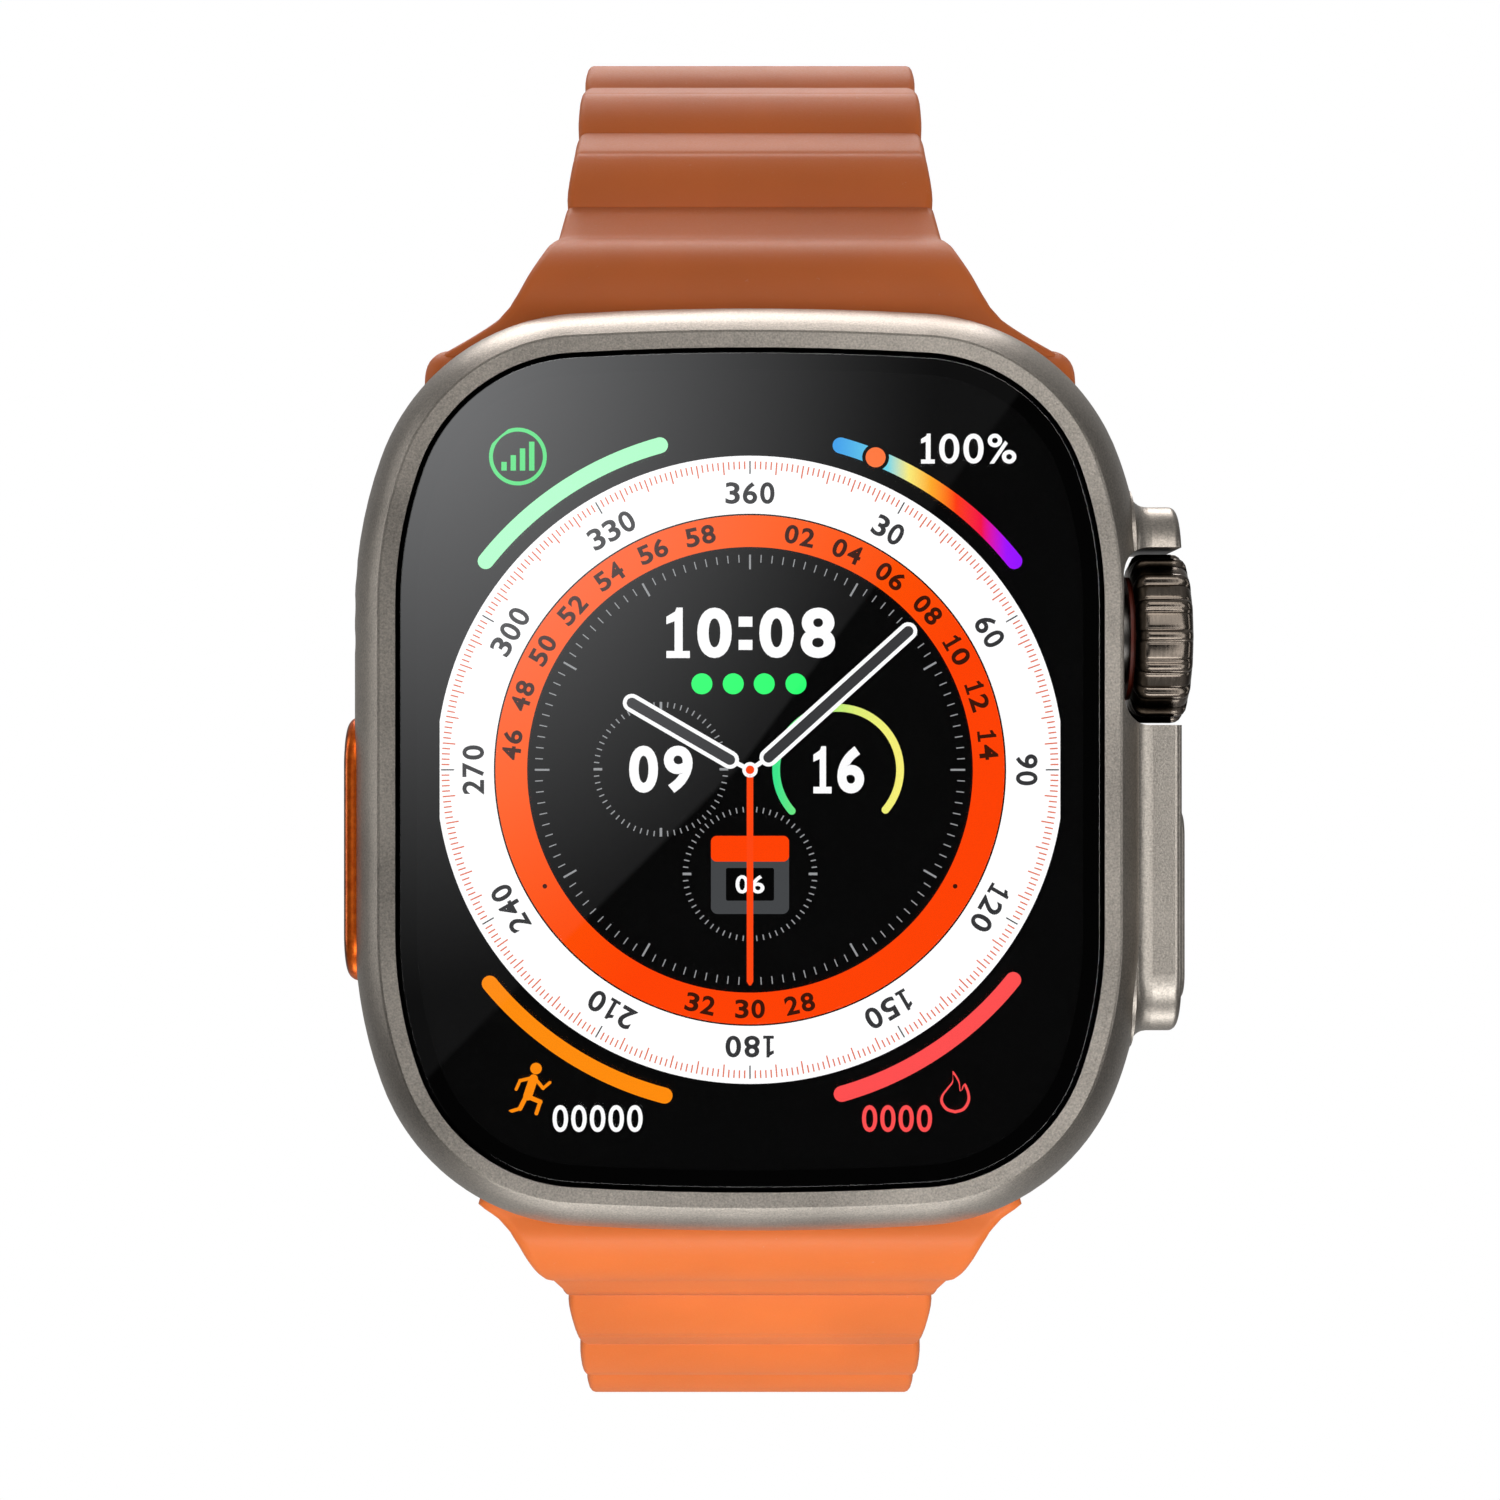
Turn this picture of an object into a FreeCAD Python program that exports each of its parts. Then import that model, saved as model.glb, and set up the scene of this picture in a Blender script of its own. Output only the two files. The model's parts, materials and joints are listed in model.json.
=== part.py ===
# Smartwatch for running: a bulged metal case with a crown guard, and a two-piece magnetic silicone strap.
#
# Millimetres. The origin is the centre of the glass's outer face. +Z points to 12 o'clock, +X to the crown
# and -Y out of the display, so a larger y lies deeper in the watch. The strap is closed, as it sits on a wrist.

import FreeCAD, Part
import math
import os

import Sketcher
from FreeCAD import Placement, Rotation, Vector

PI = math.pi
Z_AXIS = Vector(0, 0, 1)

# Driving dimensions. Each one becomes a spreadsheet cell of the same name, which the features are bound to.
CASE = {
    "half_w": 21.0,           # half the case's width, at its widest depth
    "half_h": 24.5,           # half its height
    "corner_radius": 11.6,
    "ease_radius": 24.0,      # the gentler arc between a straight side and a corner
    "ease_z": 8.5,            # where the straight side ends
    "bow_radius": 160.0,      # the ends of the case are very slightly bowed
    "rim_y": -0.25,           # the metal rim stands this far proud of the glass
    "rim_inset": 1.9,         # rim's outer edge, measured in from the widest outline
    "shoulder_inset": 1.72,   # where the bulged side starts, just below the rim's bevel
    "widest_y": 5.25,
    "back_y": 10.6,
    "back_inset": 2.4,
    "glass_inset": 2.74,
    "glass_thick": 1.4,
    "ledge_y": 1.6,           # the ledge that the glass is glued to
    "ledge_inset": 3.75,
    "display_floor_y": 2.8,
    "bay_half_w": 16.2,       # the bay that holds the electronics
    "bay_half_h": 16.4,
    "bay_radius": 8.0,
    "cover_half_w": 17.5,
    "cover_half_h": 18.1,
    "cover_radius": 8.5,
    "cover_seat_y": 9.5,
    "seal_thick": 0.2,
    "cover_thick": 1.2,
    "window_radius": 13.9,
    "window_seat_y": 10.3,
    "window_rim_y": 11.15,
    "window_top_y": 14.15,
    "window_flat_radius": 8.5,
    "window_wall": 1.1,
    "fit_gap": 0.05,          # gap round parts that drop into a recess
    "screw_x": 14.16,
    "screw_z": 14.76,
    "screw_head_radius": 0.9,
    "screw_shank_radius": 0.5,
    "screw_sink": 0.5,        # a screw's head sits this deep in the cover
    "screw_reach": 1.6,       # and its shank reaches this far into the case
    "screw_play": 0.02,
    "window_ledge": 0.9,      # the window rests on this much of the cover, round the hole in it
    "sensor_board_radius": 11.4,
    "sensor_board_front": 11.35,
    "sensor_board_back": 11.95,
    "diode_ring": 6.3,        # radius that the photodiodes stand on
    "diode_side": 2.0,
    "diode_thick": 0.55,
    "lamp_ring": 2.2,         # and the lamps
    "lamp_side": 1.3,
    "lamp_thick": 0.5,
    "coil_outer": 11.0,
    "coil_inner": 7.2,
    "coil_front": 10.35,
    "charger_magnet_radius": 4.6,
    "charger_magnet_front": 9.9,
    "charger_back": 11.1,
    "chip_face_y": 3.7,       # the side of the main board that carries the chips
}
CONTROLS = {
    "guard_x": 22.65,         # outer face of the crown guard
    "guard_top_z": 13.99,
    "guard_bottom_z": -13.93,
    "guard_front_y": 1.9,
    "guard_back_y": 9.9,
    "guard_round": 3.2,       # corner radius of its outline, seen from the side
    "guard_edge": 0.4,
    "guard_foot": 0.9,        # radius of the hollow curve at its foot
    "guard_foot_x": 20.2,
    "crown_y": 5.9,           # the crown's axis runs along X at this depth and height
    "crown_z": 7.0,
    "crown_radius": 4.53,     # over the ridges
    "crown_land_radius": 4.3,
    "crown_ridges": 16,
    "crown_ridge_w": 0.62,
    "crown_inner_x": 20.2,
    "crown_outer_x": 23.35,
    "crown_notch_half": 4.66,
    "crown_notch_x": 19.35,
    "crown_travel": 0.4,
    "collar_radius": 2.4,
    "collar_end_x": 20.1,
    "tube_radius": 1.9,
    "stem_radius": 1.2,
    "stem_gap": 0.05,
    "stem_inner_x": 14.9,
    "side_button_z": -7.2,
    "side_button_half": 5.15,
    "side_button_radius": 1.5,
    "side_button_x": 23.1,
    "action_button_z": -4.25,
    "action_button_half": 7.05,
    "action_button_radius": 2.6,
    "action_button_x": 21.45,
    "button_y": 5.4,
    "button_travel": 0.35,
    "plunger_radius": 0.55,
    "plunger_end_x": 15.95,
    "speaker_slot_len": 3.0,
    "speaker_slot_w": 1.3,
    "speaker_slot_pitch": 1.82,
    "speaker_slot_z": 8.6,
    "speaker_mouth_x": 20.5,  # outside this the slots open into longer mouths
    "speaker_mouth_len": 4.4,
    "release_half": 2.6,
    "release_radius": 0.85,
}
STRAP = {
    "lug_y": 6.2,             # axis of the strap's bead in the case's channel
    "lug_z": 20.3,
    "channel_radius": 2.3,
    "bead_radius": 2.2,
    "neck_half": 1.45,
    "slot_half": 1.55,
    "lug_half_w": 17.45,
    "core_radius": 1.0,
    "strap_half_w": 10.05,
    "link": 7.7,              # pitch of the strap's links along its neutral line
    "skin": 0.6,              # silicone inside the neutral line, against the wrist
    "valley": 1.7,            # silicone outside it, where the links meet
    "crest": 2.7,             # and at each link's crest
    "rise_share": 0.58,       # share of a link that climbs to the crest
    "magnet_len": 13.0,
    "magnet_w": 3.2,
    "magnet_thick": 1.0,
}
# Flat parts in the case: centre, half sides and corner radius from the front, then front depth and thickness.
PLATES = {
    "main_board": {"x": 0, "z": 0, "half_x": 15.3, "half_z": 15.5, "radius": 7.4, "front": 3.0, "thick": 0.7},
    "battery": {
        "x": 1.4, "z": 3.6, "half_x": 10.7, "half_z": 9.4, "radius": 1.2, "front": 5.15, "thick": 3.85,
    },
    "haptic_motor": {
        "x": 0, "z": -12.6, "half_x": 11, "half_z": 2.9, "radius": 0.8, "front": 5, "thick": 3.4,
    },
    "speaker_module": {
        "x": -12.7, "z": 7.7, "half_x": 2.75, "half_z": 2.95, "radius": 0.9, "front": 4.2, "thick": 4.2,
    },
    "microphone": {
        "x": 14.6, "z": 0.1, "half_x": 1.3, "half_z": 1.5, "radius": 0.4, "front": 4.4, "thick": 2,
    },
}
# Chips on the main board: lowest corner from the front, then sides.
CHIPS = {
    "processor": {"x": -8, "z": 2, "wide": 10, "thick": 1, "tall": 9},
    "memory": {"x": 3.5, "z": 3, "wide": 7, "thick": 0.9, "tall": 6},
    "power_chip": {"x": -7, "z": -6, "wide": 5, "thick": 0.8, "tall": 5},
    "radio_chip": {"x": 1, "z": -6, "wide": 6, "thick": 0.9, "tall": 5},
    "gps_chip": {"x": -2.5, "z": -12, "wide": 5, "thick": 0.8, "tall": 4},
    "motion_chip": {"x": 5, "z": -11, "wide": 3, "thick": 0.8, "tall": 3},
}
DIMS = {**CASE, **CONTROLS, **STRAP}
for part_sizes in (PLATES, CHIPS):
    DIMS.update({f"{name}_{key}": size for name, sizes in part_sizes.items() for key, size in sizes.items()})

# The closed strap as a chain of arcs, seen from the side. Each half starts at its first hinge, with its
# heading in degrees from +Y towards its own end of the watch, and each segment's turn towards the wrist.
UPPER = {"sign": 1, "hinge": (13.69, 29.59), "heading": 49.0, "turns": (22, 34, 32, 51, 0, 0, 0)}
LOWER = {"sign": -1, "hinge": (14.75, 28.15), "heading": 35.0, "turns": (14, 30, 60, 21, 0)}
LINKS_PER_SEGMENT = 2
FIRST_HINGE_EXTRA = 13.0      # the first hinge opens past straight by this much
TAIL_BEND = 6.0               # the flat tail can bend back by this much at each of its hinges
GAP_SPARE = 1.0               # degrees of spare room in each hinge's gap
HINGE_GAP = 0.04
UPPER_MAGNETS = (4, 5, 6, 7)  # segments that hold magnets
LOWER_MAGNETS = (4, 5)
GUARD_SPREAD = 0.35           # the hollow curve at the guard's foot spreads less to the front than to the ends
# One side of a strap root's flare as a run of arcs: in from the lug's end, and up from the bead's axis.
FLARE = (
    ((0, 0.9), (0.35, 1.75), (1.2, 2.15)),
    ((1.2, 2.15), (3.35, 3.35), (4.8, 4.9)),
    ((4.8, 4.9), (5.75, 6.75), (6.78, 8.6)),
)

doc = FreeCAD.newDocument("running_watch")
sheet = doc.addObject("Spreadsheet::Sheet", "dims")
for row, (alias, value) in enumerate(DIMS.items(), 1):
    sheet.set(f"A{row}", alias)
    sheet.set(f"B{row}", str(value))
    sheet.setAlias(f"B{row}", alias)
scratch = doc.addObject("Spreadsheet::Sheet", "scratch")   # one cell, where value() works out expressions
doc.recompute()
subparts = []


# ---------------------------------------------------------------- helpers

def value(expression):
    """A sheet expression's number, for placing geometry before its constraint is bound."""
    scratch.set("A1", "=" + on_sheet(expression))
    scratch.recompute()
    return float(scratch.get("A1"))


def on_sheet(expression):
    """The same expression, as an object outside the sheet has to write it."""
    words = sorted(DIMS, key=len, reverse=True)
    text, place = "", 0
    while place < len(expression):
        word = next((w for w in words if expression.startswith(w, place)), None)
        text += f"dims.{word}" if word else expression[place]
        place += len(word) if word else 1
    return text


def bind(obj, **properties):
    """Binds properties of obj to sheet expressions."""
    for name, expression in properties.items():
        obj.setExpression(name.replace("__", "."), on_sheet(expression))


def keep(obj, label):
    """Names an object as one of the watch's pieces."""
    obj.Label = label
    subparts.append(obj)
    return obj


def new_body(label):
    return keep(doc.addObject("PartDesign::Body", label), label)


def origin_plane(body, role):
    return next(f for f in body.Origin.OriginFeatures if f.Role == role)


def new_sketch(body, role, offset="0"):
    """A sketch on one of the body's origin planes, moved along the plane's normal."""
    sketch = body.newObject("Sketcher::SketchObject", "sketch")
    sketch.AttachmentSupport = (origin_plane(body, role), [""])
    sketch.MapMode = "FlatFace"
    bind(sketch, AttachmentOffset__Base__z=offset)
    return sketch


def front_sketch(body, depth="0"):
    """A sketch seen from the front: its x is X and its y is Z, at a depth."""
    return new_sketch(body, "XZ_Plane", f"-({depth})")


def size(sketch, constraint, expression):
    """Adds a dimension to a sketch, bound to the sheet."""
    index = sketch.addConstraint(constraint)
    sketch.setExpression(f"Constraints[{index}]", on_sheet(expression))


def extrude(body, sketch, length, kind="Pad", back=False, both=False):
    """Pads or pockets a sketch by a bound length."""
    feature = body.newObject("PartDesign::" + kind, kind.lower())
    feature.Profile = sketch
    feature.SideType = "Symmetric" if both else "One side"
    feature.Reversed = back
    bind(feature, Length=length)
    doc.recompute()
    return feature


def revolve(body, sketch, axis="Y_Axis"):
    feature = body.newObject("PartDesign::Revolution", "revolution")
    feature.Profile = sketch
    feature.ReferenceAxis = (origin_plane(body, axis), [""])
    feature.Angle = 360
    doc.recompute()
    return feature


def soften(body, edges, radius, kind="Fillet"):
    """Rounds or bevels edges of the body's last feature, chosen by a test on each edge."""
    base = body.Tip
    names = [f"Edge{i}" for i, edge in enumerate(base.Shape.Edges, 1) if edges(edge)]
    feature = body.newObject("PartDesign::" + kind, kind.lower())
    feature.Base = (base, names)
    if kind == "Fillet":
        bind(feature, Radius=radius)
    else:
        bind(feature, Size=radius)
    doc.recompute()
    return feature


def loop(sketch, edges):
    """Adds a closed run of edges to a sketch, and joins and fixes them."""
    first = sketch.GeometryCount
    sketch.addGeometry(edges, False)
    starts, ends = [], []
    for i, edge in enumerate(edges):
        forward = sketch.getPoint(first + i, 1).distanceToPoint(edge.StartPoint) < 1e-6
        starts.append(1 if forward else 2)
        ends.append(2 if forward else 1)
    for i in range(len(edges)):
        after = (i + 1) % len(edges)
        joint = Sketcher.Constraint("Coincident", first + i, ends[i], first + after, starts[after])
        sketch.addConstraint(joint)
    for i in range(len(edges)):
        sketch.addConstraint(Sketcher.Constraint("Block", first + i))


def polygon(points):
    """Lines joining x, y pairs in a closed run."""
    corners = [Vector(x, y, 0) for x, y in points]
    return [Part.LineSegment(a, b) for a, b in zip(corners, corners[1:] + corners[:1])]


def arc(cx, cy, radius, start, end):
    return Part.ArcOfCircle(Part.Circle(Vector(cx, cy, 0), Z_AXIS, radius), start, end)


def through(a, b, c):
    """The arc from a through b to c, or a line where they are in line."""
    if abs((b - a).cross(c - a).z) < 1e-6:
        return Part.LineSegment(a, c)
    return Part.Arc(a, b, c)


def circle(sketch, x, y, radius):
    """A circle with its centre and radius bound to sheet expressions."""
    centre = Vector(value(x), value(y), 0)
    geo = sketch.addGeometry(Part.Circle(centre, Z_AXIS, value(radius)), False)
    for kind, expression in (("DistanceX", x), ("DistanceY", y)):
        bound_offset(sketch, kind, geo, 3, expression)
    size(sketch, Sketcher.Constraint("Radius", geo, value(radius)), radius)


def bound_offset(sketch, kind, geo, point, expression):
    """Holds a point at a signed bound distance from the sketch's origin."""
    amount = value(expression)
    if abs(amount) < 1e-9:
        axis = -2 if kind == "DistanceX" else -1
        sketch.addConstraint(Sketcher.Constraint("PointOnObject", geo, point, axis))
    elif amount > 0:
        size(sketch, Sketcher.Constraint(kind, -1, 1, geo, point, amount), expression)
    else:
        flipped = f"-({expression})"
        size(sketch, Sketcher.Constraint(kind, geo, point, -1, 1, -amount), flipped)


def rounded_rectangle(sketch, x, y, half_x, half_y, radius):
    """A bound rectangle with rounded corners, centred on x, y. A radius equal to a half makes a slot."""
    cx, cy, hx, hy, r = (value(e) for e in (x, y, half_x, half_y, radius))
    first = sketch.GeometryCount
    corners = [(cx + hx - r, cy + hy - r), (cx - hx + r, cy + hy - r)]
    corners += [(cx - hx + r, cy - hy + r), (cx + hx - r, cy - hy + r)]
    edges = []
    straight_x, straight_y = hx - r > 1e-6, hy - r > 1e-6
    sides = [straight_x, straight_y, straight_x, straight_y]
    for i, (px, py) in enumerate(corners):
        edges.append(arc(px, py, r, i * PI / 2, (i + 1) * PI / 2))
        nx, ny = corners[(i + 1) % 4]
        out = Vector(math.cos((i + 1) * PI / 2), math.sin((i + 1) * PI / 2), 0) * r
        if sides[i]:
            edges.append(Part.LineSegment(Vector(px, py, 0) + out, Vector(nx, ny, 0) + out))
    sketch.addGeometry(edges, False)
    count = len(edges)
    for i in range(count):
        sketch.addConstraint(Sketcher.Constraint("Tangent", first + i, 2, first + (i + 1) % count, 1))
    arcs = [first + i for i, e in enumerate(edges) if isinstance(e, Part.ArcOfCircle)]
    for other in arcs[1:]:
        sketch.addConstraint(Sketcher.Constraint("Equal", arcs[0], other))
    size(sketch, Sketcher.Constraint("Radius", arcs[0], r), radius)
    bound_offset(sketch, "DistanceX", arcs[0], 3, f"{x} + {half_x} - ({radius})")
    bound_offset(sketch, "DistanceY", arcs[0], 3, f"{y} + {half_y} - ({radius})")
    bound_offset(sketch, "DistanceX", arcs[2], 3, f"{x} - ({half_x}) + {radius}")
    bound_offset(sketch, "DistanceY", arcs[2], 3, f"{y} - ({half_y}) + {radius}")


def meeting(ax, ay, from_a, bx, by, from_b):
    """The upper of the two points at given distances from a and from b."""
    gap = math.hypot(bx - ax, by - ay)
    along = (from_a**2 - from_b**2 + gap**2) / (2 * gap)
    aside = math.sqrt(from_a**2 - along**2)
    ux, uy = (bx - ax) / gap, (by - ay) / gap
    points = [(ax + along * ux - k * aside * uy, ay + along * uy + k * aside * ux) for k in (1, -1)]
    return max(points, key=lambda point: point[1])


def case_outline(sketch, inset):
    """The case's outline, moved in by inset: straight sides eased in to round corners, and bowed ends."""
    off = value(inset)
    a, b = DIMS["half_w"] - off, DIMS["half_h"] - off
    re, rc, rb = (DIMS[f"{name}_radius"] - off for name in ("ease", "corner", "bow"))
    xe, ze, bow_z = a - re, DIMS["ease_z"], b - rb
    xc, zc = meeting(xe, ze, re - rc, 0, bow_z, rb - rc)
    turn, lean = math.atan2(zc - ze, xc - xe), math.atan2(zc - bow_z, xc)
    first = sketch.GeometryCount
    edges = [
        arc(xe, ze, re, 0, turn),
        arc(xc, zc, rc, turn, lean),
        arc(0, bow_z, rb, lean, PI - lean),
        arc(-xc, zc, rc, PI - lean, PI - turn),
        arc(-xe, ze, re, PI - turn, PI),
        Part.LineSegment(Vector(-a, ze, 0), Vector(-a, -ze, 0)),
        arc(-xe, -ze, re, PI, PI + turn),
        arc(-xc, -zc, rc, PI + turn, PI + lean),
        arc(0, -bow_z, rb, PI + lean, 2 * PI - lean),
        arc(xc, -zc, rc, 2 * PI - lean, 2 * PI - turn),
        arc(xe, -ze, re, 2 * PI - turn, 2 * PI),
        Part.LineSegment(Vector(a, -ze, 0), Vector(a, ze, 0)),
    ]
    sketch.addGeometry(edges, False)
    for i in range(12):
        sketch.addConstraint(Sketcher.Constraint("Tangent", first + i, 2, first + (i + 1) % 12, 1))
    for side in (5, 11):
        sketch.addConstraint(Sketcher.Constraint("Vertical", first + side))
    for bow in (2, 8):
        sketch.addConstraint(Sketcher.Constraint("PointOnObject", first + bow, 3, -2))
        size(sketch, Sketcher.Constraint("Radius", first + bow, rb), f"bow_radius - ({inset})")
    for corner in (1, 3, 7, 9):
        size(sketch, Sketcher.Constraint("Radius", first + corner, rc), f"corner_radius - ({inset})")
    for ease, centre in ((0, "ease_z"), (4, "ease_z"), (6, "-ease_z"), (10, "-ease_z")):
        size(sketch, Sketcher.Constraint("Radius", first + ease, re), f"ease_radius - ({inset})")
        bound_offset(sketch, "DistanceY", first + ease, 3, centre)
    bound_offset(sketch, "DistanceX", first + 11, 1, f"half_w - ({inset})")
    bound_offset(sketch, "DistanceX", first + 5, 1, f"{inset} - half_w")
    bound_offset(sketch, "DistanceY", first + 2, 3, "half_h - bow_radius")
    bound_offset(sketch, "DistanceY", first + 8, 3, "bow_radius - half_h")


def plate(label):
    """One of the flat parts in PLATES, bound to the cells that carry its name."""
    body = new_body(label)
    sketch = front_sketch(body, f"{label}_front")
    rounded_rectangle(sketch, *(f"{label}_{key}" for key in ("x", "z", "half_x", "half_z", "radius")))
    extrude(body, sketch, f"{label}_thick", back=True)
    return body


def ring_plate(label, outer, inner, y0, y1, draw):
    """A flat ring between two depths, with both outlines drawn by draw(sketch, inset)."""
    body = new_body(label)
    sketch = front_sketch(body, y0)
    draw(sketch, outer)
    draw(sketch, inner)
    extrude(body, sketch, f"{y1} - ({y0})", back=True)
    return body


def disc(label, radius, y0, y1, inner=None):
    body = new_body(label)
    sketch = front_sketch(body, y0)
    circle(sketch, "0", "0", radius)
    if inner:
        circle(sketch, "0", "0", inner)
    extrude(body, sketch, f"{y1} - ({y0})", back=True)
    return body


def box(name, corner, sides):
    """A plain block from sheet expressions, for parts grouped under one name."""
    block = doc.addObject("Part::Box", name)
    bind(block, Length=sides[0], Width=sides[1], Height=sides[2])
    bind(block, Placement__Base__x=corner[0], Placement__Base__y=corner[1], Placement__Base__z=corner[2])
    return block


def group(label, members):
    """Several separate solids under one name."""
    compound = doc.addObject("Part::Compound", label)
    compound.Links = members
    return keep(compound, label)


# ---------------------------------------------------------------- case

def side_profile(sketch):
    """Cross-section of the case's wall at its right side: x is half the width, y the depth."""
    w = DIMS["half_w"]
    rim, shoulder = w - DIMS["rim_inset"], w - DIMS["shoulder_inset"]
    back, inner = w - DIMS["back_inset"], w - 9.0
    bevel = rim + 0.14
    front = DIMS["rim_y"]
    a, b, c = Vector(rim, front, 0), Vector(bevel, front + 0.1, 0), Vector(shoulder, 0.06, 0)
    d, e = Vector(w, DIMS["widest_y"], 0), Vector(back, DIMS["back_y"], 0)
    f, g = Vector(inner, DIMS["back_y"], 0), Vector(inner, front, 0)
    loop(sketch, [
        Part.LineSegment(a, b),
        Part.LineSegment(b, c),
        Part.Arc(c, Vector(w - 0.62, 1.85, 0), d),
        Part.Arc(d, Vector(w - 0.6, 8.5, 0), e),
        Part.LineSegment(e, f),
        Part.LineSegment(f, g),
        Part.LineSegment(g, a),
    ])


def case_wall(body):
    """Sweeps the wall's cross-section round the case's outline."""
    spine = front_sketch(body, "rim_y")
    case_outline(spine, "rim_inset")
    profile = new_sketch(body, "XY_Plane")
    side_profile(profile)
    doc.recompute()
    pipe = body.newObject("PartDesign::AdditivePipe", "wall")
    pipe.Profile = profile
    pipe.Spine = spine
    doc.recompute()


def crown_guard(body):
    """The raised block round the crown and the side button: a pad with a hollow curve down to the case."""
    def outline(x, grow):
        sketch = new_sketch(body, "YZ_Plane", x)
        rounded_rectangle(
            sketch, "(guard_front_y + guard_back_y) / 2", "(guard_top_z + guard_bottom_z) / 2",
            f"(guard_back_y - guard_front_y) / 2 + {GUARD_SPREAD} * {grow}",
            f"(guard_top_z - guard_bottom_z) / 2 + {grow}", f"guard_round + {GUARD_SPREAD} * {grow}",
        )
        return sketch

    extrude(body, outline("guard_foot_x - 3", "guard_foot"), "3")
    steps = 4
    sections = []
    for k in range(steps + 1):
        angle = k / steps * PI / 2
        out, grow = 1 - math.cos(angle), 1 - math.sin(angle)
        sections.append(outline(f"guard_foot_x + {out:.5f} * guard_foot", f"{grow:.5f} * guard_foot"))
    doc.recompute()
    skirt = body.newObject("PartDesign::AdditiveLoft", "skirt")
    skirt.Profile = sections[0]
    skirt.Sections = sections[1:]
    doc.recompute()
    extrude(body, outline("guard_foot_x + guard_foot", "0 * guard_foot"), "guard_x - guard_foot_x - guard_foot")
    face = DIMS["guard_x"]
    soften(body, lambda e: e.BoundBox.XMin > face - 0.01, "guard_edge")


def case_recesses(body):
    """Seats for the glass, the display, the electronics and the rear cover."""
    for draw, inset, floor in (
        (case_outline, "glass_inset - fit_gap", "ledge_y"),
        (case_outline, "ledge_inset", "display_floor_y"),
    ):
        sketch = front_sketch(body, "rim_y - 1")
        draw(sketch, inset)
        extrude(body, sketch, f"{floor} - rim_y + 1", kind="Pocket")
    bay = front_sketch(body, "rim_y - 1")
    rounded_rectangle(bay, "0", "0", "bay_half_w", "bay_half_h", "bay_radius")
    extrude(body, bay, "back_y - rim_y + 2", kind="Pocket")
    seat = front_sketch(body, "cover_seat_y")
    rounded_rectangle(
        seat, "0", "0", "cover_half_w + fit_gap", "cover_half_h + fit_gap", "cover_radius + fit_gap",
    )
    extrude(body, seat, "5", kind="Pocket")
    holes = front_sketch(body, "cover_seat_y")
    for sx in ("", "-"):
        for sz in ("", "-"):
            circle(holes, f"{sx}screw_x", f"{sz}screw_z", "screw_shank_radius + screw_play")
    extrude(body, holes, "2", kind="Pocket", back=True)


def lug_channels(body):
    """A round channel with a narrower mouth across each end of the case, for the strap's bead."""
    for sign in (1, -1):
        sketch = new_sketch(body, "YZ_Plane")
        y, z = DIMS["lug_y"], sign * DIMS["lug_z"]
        half, radius = DIMS["slot_half"], DIMS["channel_radius"]
        rise = math.sqrt(radius**2 - half**2)
        start = math.atan2(sign * rise, half)
        far = z + sign * 8
        left, right = Vector(y - half, z + sign * rise, 0), Vector(y + half, z + sign * rise, 0)
        around = Vector(y, z - sign * radius, 0)
        loop(sketch, [
            Part.Arc(left, around, right),
            Part.LineSegment(right, Vector(y + half, far, 0)),
            Part.LineSegment(Vector(y + half, far, 0), Vector(y - half, far, 0)),
            Part.LineSegment(Vector(y - half, far, 0), left),
        ])
        extrude(body, sketch, "2.5 * half_w", kind="Pocket", both=True)
        hole = front_sketch(body, "lug_y")
        release_shape(hole, sign, "0.04", "0")
        extrude(body, hole, "back_y", kind="Pocket")


def release_shape(sketch, sign, grow, shrink):
    """Outline of a strap release button."""
    z = "lug_z" if sign > 0 else "-lug_z"
    rounded_rectangle(
        sketch, "0", z, f"release_half + {grow} - {shrink}", f"release_radius + {grow} - {shrink}",
        f"release_radius + {grow} - {shrink}",
    )


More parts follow.
